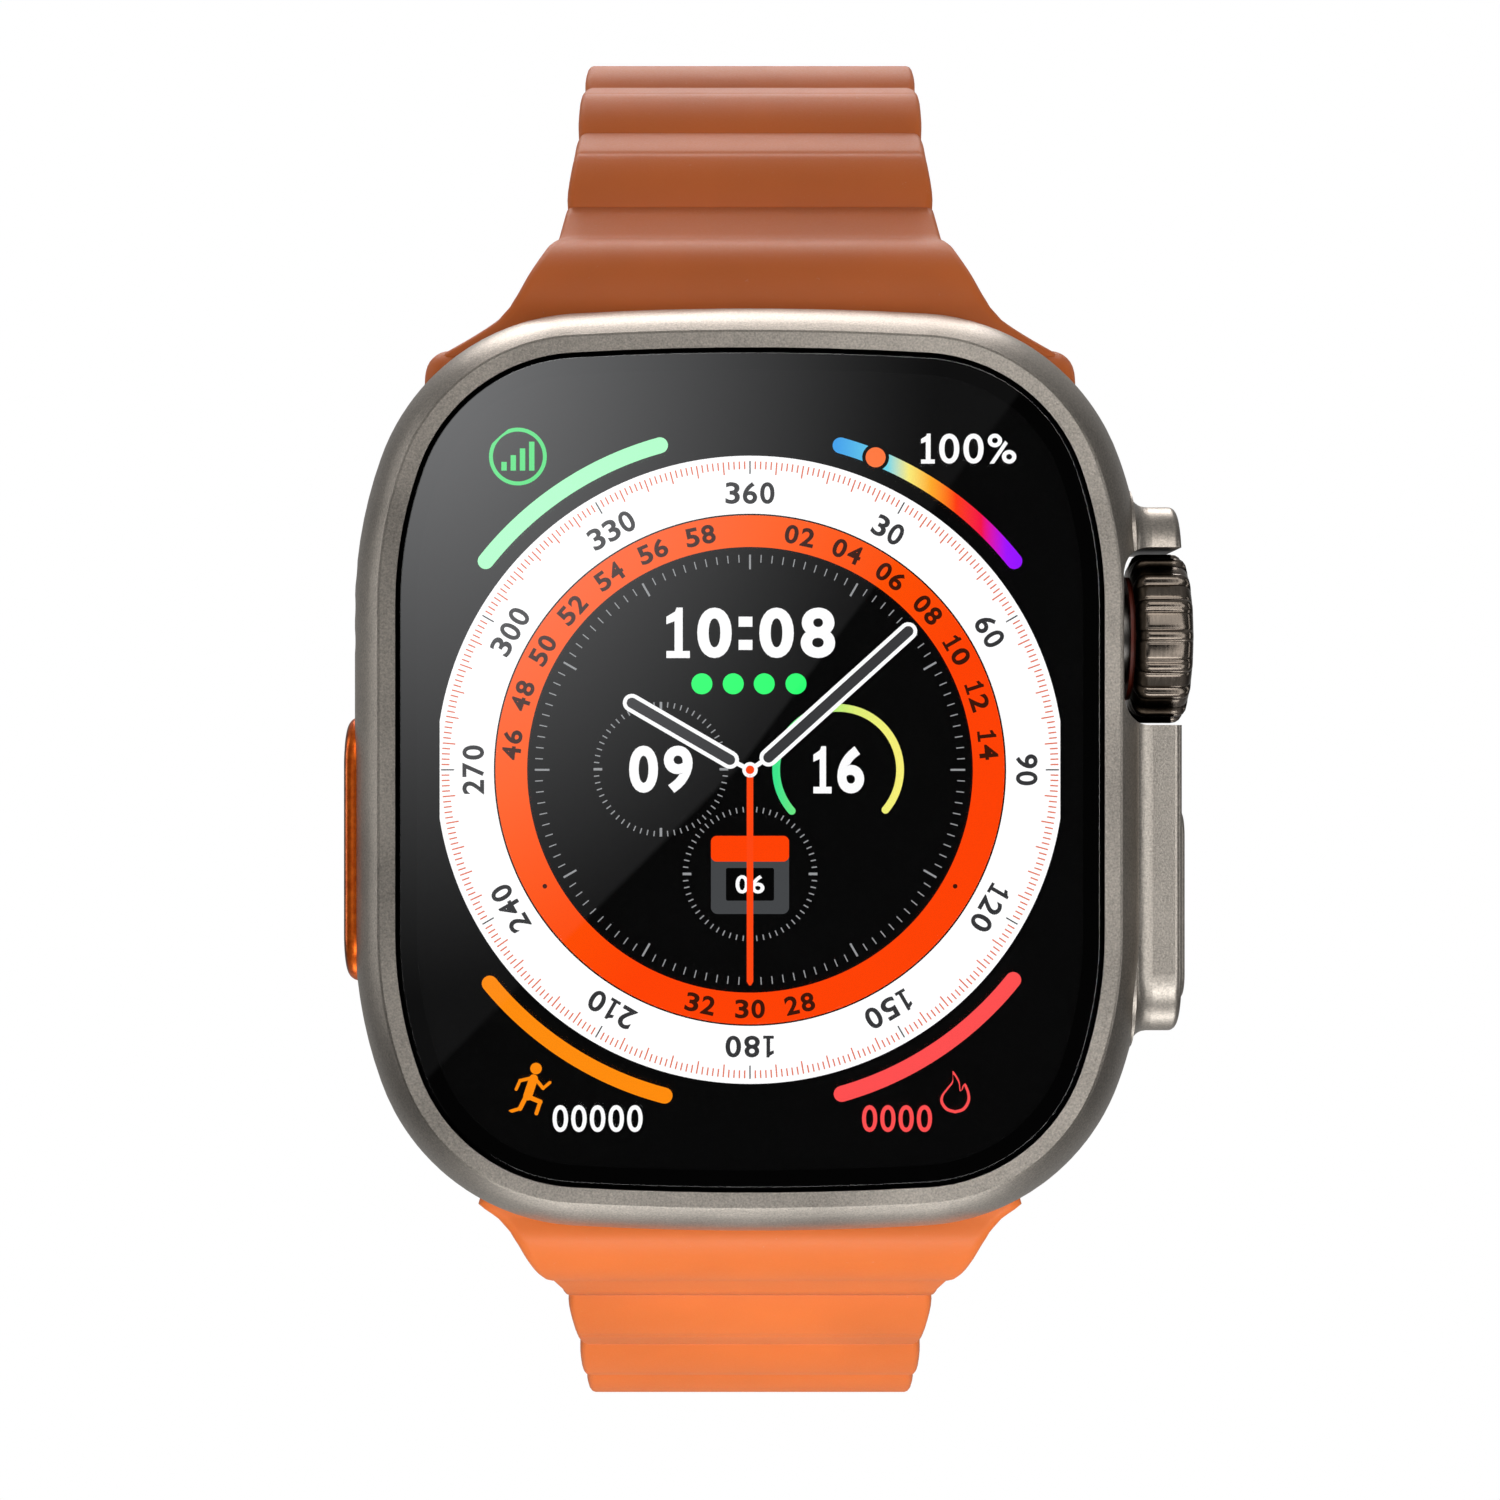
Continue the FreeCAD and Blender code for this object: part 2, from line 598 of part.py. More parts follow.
def control_openings(body):
    """Openings for the crown, the two buttons, the speaker and the microphone."""
    notch = front_sketch(body, "rim_y - 1")
    x0, x1 = DIMS["crown_notch_x"], DIMS["guard_x"] + 2
    z0 = DIMS["crown_z"] - DIMS["crown_notch_half"]
    z1 = DIMS["crown_z"] + DIMS["crown_notch_half"]
    r = 1.6
    loop(notch, [
        Part.LineSegment(Vector(x1, z0, 0), Vector(x1, z1, 0)),
        Part.LineSegment(Vector(x1, z1, 0), Vector(x0 + r, z1, 0)),
        arc(x0 + r, z1 - r, r, PI / 2, PI),
        Part.LineSegment(Vector(x0, z1 - r, 0), Vector(x0, z0 + r, 0)),
        arc(x0 + r, z0 + r, r, PI, 1.5 * PI),
        Part.LineSegment(Vector(x0 + r, z0, 0), Vector(x1, z0, 0)),
    ])
    extrude(body, notch, "back_y + 3", kind="Pocket")
    tube = new_sketch(body, "YZ_Plane", "bay_half_w - 1")
    circle(tube, "crown_y", "crown_z", "tube_radius")
    extrude(body, tube, "6", kind="Pocket", back=True)
    gap = "fit_gap"
    for prefix, sign in (("side_button", 1), ("action_button", -1)):
        reach = f"{prefix}_x - 1.95"
        pocket = new_sketch(body, "YZ_Plane", reach if sign > 0 else f"-({reach})")
        rounded_rectangle(
            pocket, "button_y", f"{prefix}_z", f"{prefix}_radius + {gap}", f"{prefix}_half + {gap}",
            f"{prefix}_radius + {gap}",
        )
        extrude(body, pocket, "6", kind="Pocket", back=sign > 0)
        for radius, depth in (("plunger_radius + fit_gap", "8"), ("plunger_radius * 2", "0.5")):
            holes = new_sketch(body, "YZ_Plane", reach if sign > 0 else f"-({reach})")
            for side in ("+", "-"):
                circle(holes, "button_y", f"{prefix}_z {side} {prefix}_half * 0.55", radius)
            extrude(body, holes, depth, kind="Pocket", back=sign < 0)
    for start, length in (("bay_half_w - 1", "speaker_slot_len"), ("speaker_mouth_x", "speaker_mouth_len")):
        slots = new_sketch(body, "YZ_Plane", f"-({start})")
        for k in (-1, 0, 1):
            rounded_rectangle(
                slots, "button_y", f"speaker_slot_z + {k} * speaker_slot_pitch", f"{length} / 2",
                "speaker_slot_w / 2", "speaker_slot_w / 2",
            )
        extrude(body, slots, "8", kind="Pocket")
    mic = new_sketch(body, "YZ_Plane", "bay_half_w - 1")
    circle(mic, "button_y", "0.1", "0.45")
    extrude(body, mic, "10", kind="Pocket", back=True)


def build_mid_case():
    body = new_body("mid_case")
    crown_guard(body)
    case_wall(body)
    case_recesses(body)
    lug_channels(body)
    control_openings(body)


def build_front():
    """Glass, its seal, the display panel and the antenna round it."""
    glass = new_body("front_glass")
    sketch = front_sketch(glass)
    case_outline(sketch, "glass_inset")
    extrude(glass, sketch, "glass_thick", back=True)
    soften(glass, lambda e: e.BoundBox.YMax < 0.01, "0.22")
    ring_plate(
        "display_seal", "glass_inset + 0.1", "ledge_inset - 0.05", "glass_thick", "ledge_y", case_outline,
    )
    panel = new_body("display_panel")
    sketch = front_sketch(panel, "glass_thick + 0.06")
    case_outline(sketch, "ledge_inset + 0.1")
    extrude(panel, sketch, "1.1", back=True)
    ring_plate(
        "gps_antenna", "ledge_inset + 0.4", "ledge_inset + 1.5", "display_floor_y - 0.18",
        "display_floor_y - 0.02", case_outline,
    )


def build_rear():
    """Rear cover, its seal and screws, and the sensor window with what lies under it."""
    seat, thick = "cover_seat_y", "seal_thick"
    cover = new_body("rear_cover")
    sketch = front_sketch(cover, f"{seat} + {thick}")
    rounded_rectangle(sketch, "0", "0", "cover_half_w", "cover_half_h", "cover_radius")
    circle(sketch, "0", "0", "window_radius - window_ledge")
    extrude(cover, sketch, "cover_thick", back=True)
    rim = front_sketch(cover, "window_seat_y")
    circle(rim, "0", "0", "window_radius + fit_gap")
    extrude(cover, rim, "3", kind="Pocket")
    for radius, start, depth in (
        ("screw_shank_radius + screw_play", seat, "3"),
        ("screw_head_radius + screw_play", f"{seat} + {thick} + screw_sink", "3"),
    ):
        holes = front_sketch(cover, start)
        for sx in ("", "-"):
            for sz in ("", "-"):
                circle(holes, f"{sx}screw_x", f"{sz}screw_z", radius)
        extrude(cover, holes, depth, kind="Pocket")
    back = DIMS["cover_seat_y"] + DIMS["seal_thick"] + DIMS["cover_thick"]

    def on_back_outline(edge):
        spot = edge.BoundBox
        reach = max(abs(spot.XMax), abs(spot.ZMax), abs(spot.XMin), abs(spot.ZMin))
        return spot.YMin > back - 0.01 and reach > DIMS["window_radius"] + 0.3 and spot.DiagonalLength > 8

    soften(cover, on_back_outline, "0.35")

    def cover_ring(sketch, inset):
        rounded_rectangle(sketch, "0", "0", f"cover_half_w - {inset}", f"cover_half_h - {inset}",
                          f"cover_radius - {inset}")

    ring_plate("rear_seal", "0.1", "0.62", seat, f"{seat} + {thick}", cover_ring)
    group("rear_screws", [screw(sx, sz) for sx in (1, -1) for sz in (1, -1)])
    build_sensor_window()
    disc("sensor_board", "sensor_board_radius", "sensor_board_front", "sensor_board_back")
    diodes = [sensor_block("diode", i * 45) for i in range(8)]
    lamps = [sensor_block("lamp", 45 + i * 90) for i in range(4)]
    group("sensor_leds", diodes + lamps)
    disc("charging_coil", "coil_outer", "coil_front", "charger_back", inner="coil_inner")
    disc("charging_magnet", "charger_magnet_radius", "charger_magnet_front", "charger_back")


def screw(side_x, side_z):
    """A flat-headed screw with a hexagonal socket, at one corner of the cover."""
    outside = "cover_seat_y + seal_thick"
    head = doc.addObject("Part::Cylinder", "screw_head")
    shank = doc.addObject("Part::Cylinder", "screw_shank")
    socket = doc.addObject("Part::Prism", "screw_socket")
    bind(head, Radius="screw_head_radius", Height="cover_thick - screw_sink - 0.05")
    bind(shank, Radius="screw_shank_radius", Height="screw_reach + screw_sink")
    socket.Polygon = 6
    bind(socket, Circumradius="screw_head_radius * 0.47", Height="0.4")
    for piece, y in (
        (head, f"{outside} + screw_sink"), (shank, f"{outside} - screw_reach"),
        (socket, f"{outside} + cover_thick - 0.38"),
    ):
        piece.Placement = Placement(Vector(0, 0, 0), Rotation(Vector(1, 0, 0), -90))
        bind(piece, Placement__Base__x=f"{side_x} * screw_x", Placement__Base__y=y,
             Placement__Base__z=f"{side_z} * screw_z")
    whole = doc.addObject("Part::Fuse", "screw")
    whole.Base, whole.Tool = head, shank
    drilled = doc.addObject("Part::Cut", "screw_with_socket")
    drilled.Base, drilled.Tool = whole, socket
    return drilled


def sensor_block(kind, angle):
    """A photodiode or a lamp on the sensor board, turned to face the centre."""
    block = doc.addObject("Part::Box", kind)
    bind(block, Length=f"{kind}_side", Width=f"{kind}_thick", Height=f"{kind}_side")
    radius, half = DIMS[f"{kind}_ring"], DIMS[f"{kind}_side"] / 2
    turn = Rotation(Vector(0, 1, 0), -angle)
    a = math.radians(angle)
    middle = Vector(radius * math.cos(a), DIMS["sensor_board_back"], radius * math.sin(a))
    block.Placement = Placement(middle + turn.multVec(Vector(-half, 0, -half)), turn)
    return block


def build_sensor_window():
    """The domed window over the sensors: a flat centre, a round shoulder and a hollow inside."""
    body = new_body("sensor_window")
    flat, radius = DIMS["window_flat_radius"], DIMS["window_radius"]
    seat, rim, top, wall = (DIMS[k] for k in ("window_seat_y", "window_rim_y", "window_top_y", "window_wall"))
    run, drop = radius - flat, top - rim
    shoulder = (run**2 + drop**2) / (2 * drop)
    hollow = shoulder - wall
    inner = radius - wall
    outer_end = math.atan2(rim - top + shoulder, run)
    inner_end = math.acos((inner - flat) / hollow)
    inner_rim = top - shoulder + hollow * math.sin(inner_end)

    def on(radius_, angle):
        return Vector(flat + radius_ * math.cos(angle), top - shoulder + radius_ * math.sin(angle), 0)

    sketch = new_sketch(body, "XY_Plane")
    loop(sketch, [
        Part.LineSegment(Vector(0, top, 0), Vector(flat, top, 0)),
        Part.Arc(Vector(flat, top, 0), on(shoulder, (outer_end + PI / 2) / 2), Vector(radius, rim, 0)),
        Part.LineSegment(Vector(radius, rim, 0), Vector(radius, seat, 0)),
        Part.LineSegment(Vector(radius, seat, 0), Vector(inner, seat, 0)),
        Part.LineSegment(Vector(inner, seat, 0), Vector(inner, inner_rim, 0)),
        Part.Arc(
            Vector(inner, inner_rim, 0), on(hollow, (inner_end + PI / 2) / 2), Vector(flat, top - wall, 0),
        ),
        Part.LineSegment(Vector(flat, top - wall, 0), Vector(0, top - wall, 0)),
        Part.LineSegment(Vector(0, top - wall, 0), Vector(0, top, 0)),
    ])
    revolve(body, sketch)


def build_electronics():
    """Board, battery, haptic motor, speaker, microphone and switches in the bay."""
    for label, radius in (("main_board", None), ("battery", "0.4"), ("haptic_motor", "0.3"),
                          ("speaker_module", None), ("microphone", None)):
        body = plate(label)
        if radius:
            soften(body, lambda e: e.BoundBox.YLength < 0.01, radius)
    group("board_chips", [
        box(c, (f"{c}_x", "chip_face_y", f"{c}_z"), (f"{c}_wide", f"{c}_thick", f"{c}_tall")) for c in CHIPS
    ])
    switch_thick, overhang = "1.25", "button_y - 1"
    side = box("side_switch", ("14.3", overhang, "side_button_z - 3.5"), (switch_thick, "2", "7"))
    action = box("action_switch", ("-15.55", overhang, "action_button_z - 4.6"), (switch_thick, "2", "9.2"))
    group("button_switches", [side, action])
    group("speaker_mesh", [
        box("mesh", ("-bay_half_w - 0.35", "button_y - 1.15", f"speaker_slot_z + {k} * speaker_slot_pitch - 0.3"),
            ("0.2", "2.3", "0.6"))
        for k in (-1, 0, 1)
    ])


# ---------------------------------------------------------------- crown and buttons

def place_on_crown_axis(body):
    bind(body, Placement__Base__y="crown_y", Placement__Base__z="crown_z")


def turned(label, points):
    """A part turned about the crown's axis, from points of x along the axis and radius."""
    body = new_body(label)
    sketch = new_sketch(body, "XY_Plane")
    loop(sketch, polygon(points))
    revolve(body, sketch, "X_Axis")
    place_on_crown_axis(body)
    return body


def build_crown():
    """Ridged crown on a sealed stem that turns and presses in a tube fixed to the case."""
    x0, x1 = DIMS["crown_inner_x"], DIMS["crown_outer_x"]
    land, stem, collar = DIMS["crown_land_radius"], DIMS["stem_radius"], DIMS["collar_radius"]
    knob = new_body("crown_knob")
    profile = new_sketch(knob, "XY_Plane")
    hub = collar + 0.15
    edge, rise = 0.55, 0.1
    shoulder = x0 + 0.75      # the knob is hollowed this deep round the collar, and rounded this far outside
    loop(profile, [
        Part.LineSegment(Vector(shoulder, 0, 0), Vector(shoulder, hub, 0)),
        Part.LineSegment(Vector(shoulder, hub, 0), Vector(x0, hub, 0)),
        Part.LineSegment(Vector(x0, hub, 0), Vector(x0, land - 0.95, 0)),
        Part.Arc(Vector(x0, land - 0.95, 0), Vector(x0 + 0.2, land - 0.3, 0), Vector(shoulder, land, 0)),
        Part.LineSegment(Vector(shoulder, land, 0), Vector(x1 - edge, land, 0)),
        Part.Arc(
            Vector(x1 - edge, land, 0),
            Vector(x1 - edge * 0.37, land - edge * 0.27, 0),
            Vector(x1 - rise, land - edge, 0),
        ),
        Part.LineSegment(Vector(x1 - rise, land - edge, 0), Vector(x1, land - 2 * edge, 0)),
        Part.LineSegment(Vector(x1, land - 2 * edge, 0), Vector(x1, 0, 0)),
        Part.LineSegment(Vector(x1, 0, 0), Vector(shoulder, 0, 0)),
    ])
    revolve(knob, profile, "X_Axis")
    bore = new_sketch(knob, "YZ_Plane", "crown_inner_x")
    circle(bore, "0", "0", "stem_radius")
    extrude(knob, bore, "1.9", kind="Pocket", back=True)
    add_crown_ridges(knob)
    place_on_crown_axis(knob)

    accent = new_body("crown_accent_ring")
    ring = new_sketch(accent, "YZ_Plane", "crown_inner_x - 0.16")
    circle(ring, "0", "0", "crown_land_radius - 1.0")
    circle(ring, "0", "0", "collar_radius + 0.3")
    extrude(accent, ring, "0.16")
    place_on_crown_axis(accent)

    groove = 0.34
    inner = DIMS["stem_inner_x"]
    outline = [(inner, 0), (inner, 1.9), (inner + 0.6, 1.9), (inner + 0.6, stem)]
    for seal_x in (17.2, 18.3):
        floor, end = stem - groove, seal_x + 0.5
        outline += [(seal_x, stem), (seal_x, floor), (end, floor), (end, stem)]
    outline += [(x0 + 1.85, stem), (x0 + 1.85, 0)]
    turned("crown_stem", outline)
    seals = []
    for seal_x in (17.45, 18.55):
        seal = doc.addObject("Part::Torus", "seal")
        seal.Radius1, seal.Radius2 = 1.05, 0.17
        seal.Placement = Placement(Vector(seal_x, 0, 0), Rotation(Vector(0, 1, 0), 90))
        bind(seal, Placement__Base__y="crown_y", Placement__Base__z="crown_z")
        seals.append(seal)
    group("crown_seals", seals)

    bore_r = stem + DIMS["stem_gap"]
    notch, collar_end = DIMS["crown_notch_x"], DIMS["collar_end_x"]
    turned("crown_tube", [
        (DIMS["bay_half_w"], bore_r), (DIMS["bay_half_w"], DIMS["tube_radius"]), (notch, DIMS["tube_radius"]),
        (notch, collar), (collar_end, collar), (collar_end, bore_r),
    ])
    turned("crown_pusher", [(inner - 0.45, 0), (inner - 0.45, 1.1), (inner - 0.05, 1.4), (inner - 0.05, 0)])
    switch = box(
        "crown_switch_block", ("12.9", "crown_y - 1.6", "crown_z - 1.6"),
        ("stem_inner_x - 0.5 - crown_travel - 12.9", "3.2", "3.2"),
    )
    keep(switch, "crown_switch")


def add_crown_ridges(knob):
    """Rounded grip ridges, evenly spaced round the crown."""
    half, top, land = DIMS["crown_ridge_w"] / 2, DIMS["crown_radius"], DIMS["crown_land_radius"]
    sketch = new_sketch(knob, "YZ_Plane", "crown_inner_x + 0.42")
    loop(sketch, [
        Part.LineSegment(Vector(-half, land - 0.35, 0), Vector(half, land - 0.35, 0)),
        Part.LineSegment(Vector(half, land - 0.35, 0), Vector(half, land - 0.02, 0)),
        Part.Arc(Vector(half, land - 0.02, 0), Vector(0, top, 0), Vector(-half, land - 0.02, 0)),
        Part.LineSegment(Vector(-half, land - 0.02, 0), Vector(-half, land - 0.35, 0)),
    ])
    ridge = extrude(knob, sketch, "crown_outer_x - crown_inner_x - 0.85")
    pattern = knob.newObject("PartDesign::PolarPattern", "ridges")
    pattern.Originals = [ridge]
    pattern.Axis = (origin_plane(knob, "X_Axis"), [""])
    pattern.Angle = 360
    pattern.Occurrences = int(DIMS["crown_ridges"])
    bind(pattern, Occurrences="crown_ridges")
    knob.Tip = pattern
    doc.recompute()


def build_button(prefix, sign, round_radius):
    """A long button with two plungers that run through seals to the switch inside."""
    body = new_body(prefix)
    face = f"{prefix}_x"
    inner = f"{prefix}_x - 1.95 + button_travel + 0.1"
    sketch = new_sketch(body, "YZ_Plane", inner if sign > 0 else f"-({inner})")
    rounded_rectangle(
        sketch, "button_y", f"{prefix}_z", f"{prefix}_radius", f"{prefix}_half", f"{prefix}_radius",
    )
    extrude(body, sketch, f"{face} - ({inner})", back=sign < 0)
    outer = DIMS[face]

    def on_outer_face(edge):
        return abs(edge.BoundBox.XMin - sign * outer) < 0.01 and edge.BoundBox.XLength < 0.01

    soften(body, on_outer_face, round_radius)
    plungers = new_sketch(body, "YZ_Plane", "plunger_end_x" if sign > 0 else "-plunger_end_x")
    for side in ("+", "-"):
        circle(plungers, "button_y", f"{prefix}_z {side} {prefix}_half * 0.55", "plunger_radius")
    extrude(body, plungers, f"{inner} - plunger_end_x + 0.3", back=sign < 0)

    seals = new_body(f"{prefix}_seals")
    floor = f"{prefix}_x - 1.95 - 0.5"
    sketch = new_sketch(seals, "YZ_Plane", floor if sign > 0 else f"-({floor})")
    for side in ("+", "-"):
        circle(sketch, "button_y", f"{prefix}_z {side} {prefix}_half * 0.55", "plunger_radius * 2 - 0.02")
        circle(sketch, "button_y", f"{prefix}_z {side} {prefix}_half * 0.55", "plunger_radius + 0.02")
    extrude(seals, sketch, "0.45", back=sign < 0)


def build_release(label, sign):
    """Push button in the case's back that frees the strap's catch."""
    body = new_body(label)
    sketch = front_sketch(body, "back_y - 1.3")
    release_shape(sketch, sign, "0", "0")
    extrude(body, sketch, "1.42", back=True)
    back = DIMS["back_y"] + 0.12
    soften(body, lambda e: e.BoundBox.YMin > back - 0.01, "0.2")
    stem = front_sketch(body, "back_y - 1.85")
    release_shape(stem, sign, "0", "0.3")
    extrude(body, stem, "0.7", back=True)


# ---------------------------------------------------------------- strap

def arc_chain(half):
    """Hinge points and headings of a half strap: its chain of arcs along the neutral line."""
    y, z = half["hinge"]
    heading = math.radians(half["heading"])
    length = DIMS["link"] * LINKS_PER_SEGMENT
    chain = []
    for turn in half["turns"]:
        segment = {"y": y, "z": z, "heading": heading, "turn": math.radians(turn), "length": length}
        chain.append(segment)
        end = along(segment, length, 0)
        y, z = end
        heading -= segment["turn"]
    return chain


def along(segment, u, v):
    """The point u along a segment's neutral line and v outside it, as y and unsigned z."""
    heading, turn, length = segment["heading"], segment["turn"], segment["length"]
    y, z = segment["y"], segment["z"]
    if abs(turn) < 1e-6:
        return (
            y + u * math.cos(heading) - v * math.sin(heading),
            z + u * math.sin(heading) + v * math.cos(heading),
        )
    radius = length / turn
    centre_y, centre_z = y + radius * math.sin(heading), z - radius * math.cos(heading)
    there = heading - u / radius
    return (
        centre_y - (radius + v) * math.sin(there),
        centre_z + (radius + v) * math.cos(there),
    )


def hinge_openings(half):
    """Degrees that each hinge opens, so that the fully open strap lies straight."""
    turns = half["turns"]
    straighten = [(before + after) / 2 for before, after in zip(turns, turns[1:])]
    return [turns[0] / 2 + FIRST_HINGE_EXTRA] + [max(angle, TAIL_BEND) for angle in straighten]


def link_outline(segment, gap_start, gap_end, is_tail):
    """Closed side outline of a segment of links, each climbing to a crest and falling to a valley."""
    skin, valley, crest = -DIMS["skin"], DIMS["valley"], DIMS["crest"]
    link, rise = DIMS["link"], DIMS["rise_share"] * DIMS["link"]
    length = segment["length"]
    start, end = HINGE_GAP, length - HINGE_GAP
    first = start + valley * math.tan(gap_start)
    last = end - valley * math.tan(gap_end)
    mid_rise = valley + 0.74 * (crest - valley)
    runs = []
    for n in range(LINKS_PER_SEGMENT):
        begin = n * link if n else first
        top = n * link + rise
        close = last if n == LINKS_PER_SEGMENT - 1 else (n + 1) * link
        runs.append(((begin, valley), ((begin + top) / 2, mid_rise), (top, crest)))
        mid_fall = (crest + valley) / 2 - 0.06
        runs.append(((top, crest), ((top + close) / 2, mid_fall), (close, valley)))
    if is_tail:
        runs.append(((last, valley), (end + 0.45, 0.6), (end, skin)))
    else:
        runs.append(((last, valley), None, (end, 0)))
        runs.append(((end, 0), None, (end, skin)))
    runs.append(((end, skin), ((start + end) / 2, skin), (start, skin)))
    runs.append(((start, skin), None, (start, 0)))
    runs.append(((start, 0), None, (first, valley)))
    return runs


def strap_body(label, outline, half_width):
    """Pads a side outline of the strap across its width."""
    body = new_body(label)
    sketch = new_sketch(body, "YZ_Plane")
    loop(sketch, outline)
    extrude(body, sketch, f"2 * {half_width}", both=True)
    return body


def edges_of(segment, sign, runs):
    """The runs of a link outline as edges in the side view: arcs, or straight lines."""
    def point(uv):
        y, z = along(segment, *uv)
        return Vector(y, sign * z, 0)

    made = []
    for a, middle, b in runs:
        if middle is None:
            made.append(Part.LineSegment(point(a), point(b)))
        else:
            made.append(through(point(a), point(middle), point(b)))
    return made


def magnets_in(label, segment, sign):
    """One bar magnet in each link, buried in the silicone."""
    bars = []
    for n in range(LINKS_PER_SEGMENT):
        u = (n + 0.5) * DIMS["link"]
        y, z = along(segment, u, 0.05)
        heading = segment["heading"] - segment["turn"] * u / segment["length"]
        bar = doc.addObject("Part::Box", "magnet")
        bind(bar, Length="magnet_len", Width="magnet_w", Height="magnet_thick")
        half = Vector(DIMS["magnet_len"] / 2, DIMS["magnet_w"] / 2, 0 if sign > 0 else DIMS["magnet_thick"])
        turn = Rotation(Vector(1, 0, 0), sign * math.degrees(heading))
        bar.Placement = Placement(Vector(0, y, sign * z) - turn.multVec(half), turn)
        bars.append(bar)
    return group(label, bars)


def build_root(name, half, segment, opening):
    """The moulded end of a half strap: a bead for the case's channel, a neck, and a flare to strap width."""
    sign = half["sign"]
    y, z = DIMS["lug_y"], DIMS["lug_z"]
    bead, neck, skin, valley = (DIMS[k] for k in ("bead_radius", "neck_half", "skin", "valley"))
    rise = math.sqrt(bead**2 - neck**2)
    heading = segment["heading"]
    tilt = math.tan(math.radians(opening / 2 + GAP_SPARE))

    def near_hinge(u, v):
        return Vector(
            segment["y"] + u * math.cos(heading) - v * math.sin(heading),
            sign * (segment["z"] + u * math.sin(heading) + v * math.cos(heading)), 0,
        )

    def at(yy, zz):
        return Vector(yy, sign * zz, 0)

    fall = (1 - DIMS["rise_share"]) * DIMS["link"]
    top = near_hinge(-fall * 0.98, DIMS["crest"] - 0.12)
    shoulder_z = z + 4.75
    outer = near_hinge(-HINGE_GAP - valley * tilt, valley)
    inner_mid = near_hinge(-fall - 0.6, -skin - 0.15)
    flank = at(y - neck - 0.55, shoulder_z + 0.55)
    chin = at((top.x + flank.x) / 2 - 1.25, (abs(top.y) + abs(flank.y)) / 2 + 0.95)
    edges = [
        Part.Arc(at(y - neck, z + rise), at(y, z - bead), at(y + neck, z + rise)),
        Part.LineSegment(at(y + neck, z + rise), at(y + neck, shoulder_z - 0.1)),
        Part.Arc(at(y + neck, shoulder_z - 0.1), at(y + neck + 0.9, shoulder_z + 0.35), inner_mid),
        Part.LineSegment(inner_mid, near_hinge(-HINGE_GAP, -skin)),
        Part.LineSegment(near_hinge(-HINGE_GAP, -skin), near_hinge(-HINGE_GAP, 0)),
        Part.LineSegment(near_hinge(-HINGE_GAP, 0), outer),
        Part.LineSegment(outer, top),
        Part.Arc(top, chin, flank),
        Part.LineSegment(flank, at(y - neck, shoulder_z)),
        Part.LineSegment(at(y - neck, shoulder_z), at(y - neck, z + rise)),
    ]
    body = strap_body(f"{name}_strap_root", edges, "lug_half_w")
    trim = front_sketch(body, "-5")
    w, lug = DIMS["strap_half_w"], DIMS["lug_half_w"]
    wide, low, high = lug + 1, z + FLARE[0][0][1], segment["z"] + 4
    for side in (1, -1):
        def p(x, zz):
            return Vector(side * x, sign * zz, 0)

        curves = [[p(lug - inward, z + up) for inward, up in run] for run in FLARE]
        foot = curves[-1][-1]
        loop(trim, [Part.Arc(*run) for run in curves] + [
            Part.LineSegment(foot, p(w, segment["z"] - 0.2)),
            Part.LineSegment(p(w, segment["z"] - 0.2), p(w, high)),
            Part.LineSegment(p(w, high), p(wide, high)),
            Part.LineSegment(p(wide, high), p(wide, low)),
            Part.LineSegment(p(wide, low), p(lug, low)),
        ])
    core = new_sketch(body, "YZ_Plane")
    z_cell = "lug_z" if sign > 0 else "-lug_z"
    circle(core, "lug_y", z_cell, "core_radius")
    extrude(body, core, "2 * lug_half_w - 3", kind="Pocket", both=True)
    seat = front_sketch(body, "lug_y + core_radius - 0.2")
    rounded_rectangle(seat, "0", z_cell, "2.5", "0.75", "0.3")
    extrude(body, seat, "3", kind="Pocket")
    flat = front_sketch(body, "lug_y + 1.72")
    rounded_rectangle(flat, "0", z_cell, "22", "1.4", "0.2")
    extrude(body, flat, "2", kind="Pocket")

    bar = new_body(f"{name}_lug_core")
    sketch = new_sketch(bar, "YZ_Plane")
    circle(sketch, "lug_y", z_cell, "core_radius")
    extrude(bar, sketch, "2 * lug_half_w - 3", both=True)
    hold = front_sketch(bar, "lug_y + core_radius - 0.2")
    rounded_rectangle(hold, "0", z_cell, "2.5", "0.75", "0.3")
    extrude(bar, hold, "3", kind="Pocket")
    catch = new_body(f"{name}_lug_catch")
    sketch = front_sketch(catch, "lug_y + core_radius - 0.2")
    rounded_rectangle(sketch, "0", z_cell, "2.45", "0.7", "0.28")
    extrude(catch, sketch, "1.12", back=True)


def build_strap(name, half, with_magnets):
    """Half the strap: its root, then its segments, some with magnets in their links."""
    sign = half["sign"]
    chain = arc_chain(half)
    openings = hinge_openings(half)
    build_root(name, half, chain[0], openings[0])
    for i, segment in enumerate(chain):
        is_tail = i == len(chain) - 1
        gap_start = math.radians(openings[i] / 2 + GAP_SPARE)
        gap_end = 0 if is_tail else math.radians(openings[i + 1] / 2 + GAP_SPARE)
        runs = link_outline(segment, gap_start, gap_end, is_tail)
        number = i + 1
        label = f"{name}_strap_segment_{number}"
        body = strap_body(label, edges_of(segment, sign, runs), "strap_half_w")
        if number in with_magnets:
            subparts.remove(body)
            body.Label = label + "_blank"
            bars = magnets_in(f"{name}_magnets_{number}", segment, sign)
            hollow = doc.addObject("Part::Cut", label + "_cut")
            hollow.Base, hollow.Tool = body, bars
            keep(hollow, label)


# ---------------------------------------------------------------- build, check and write

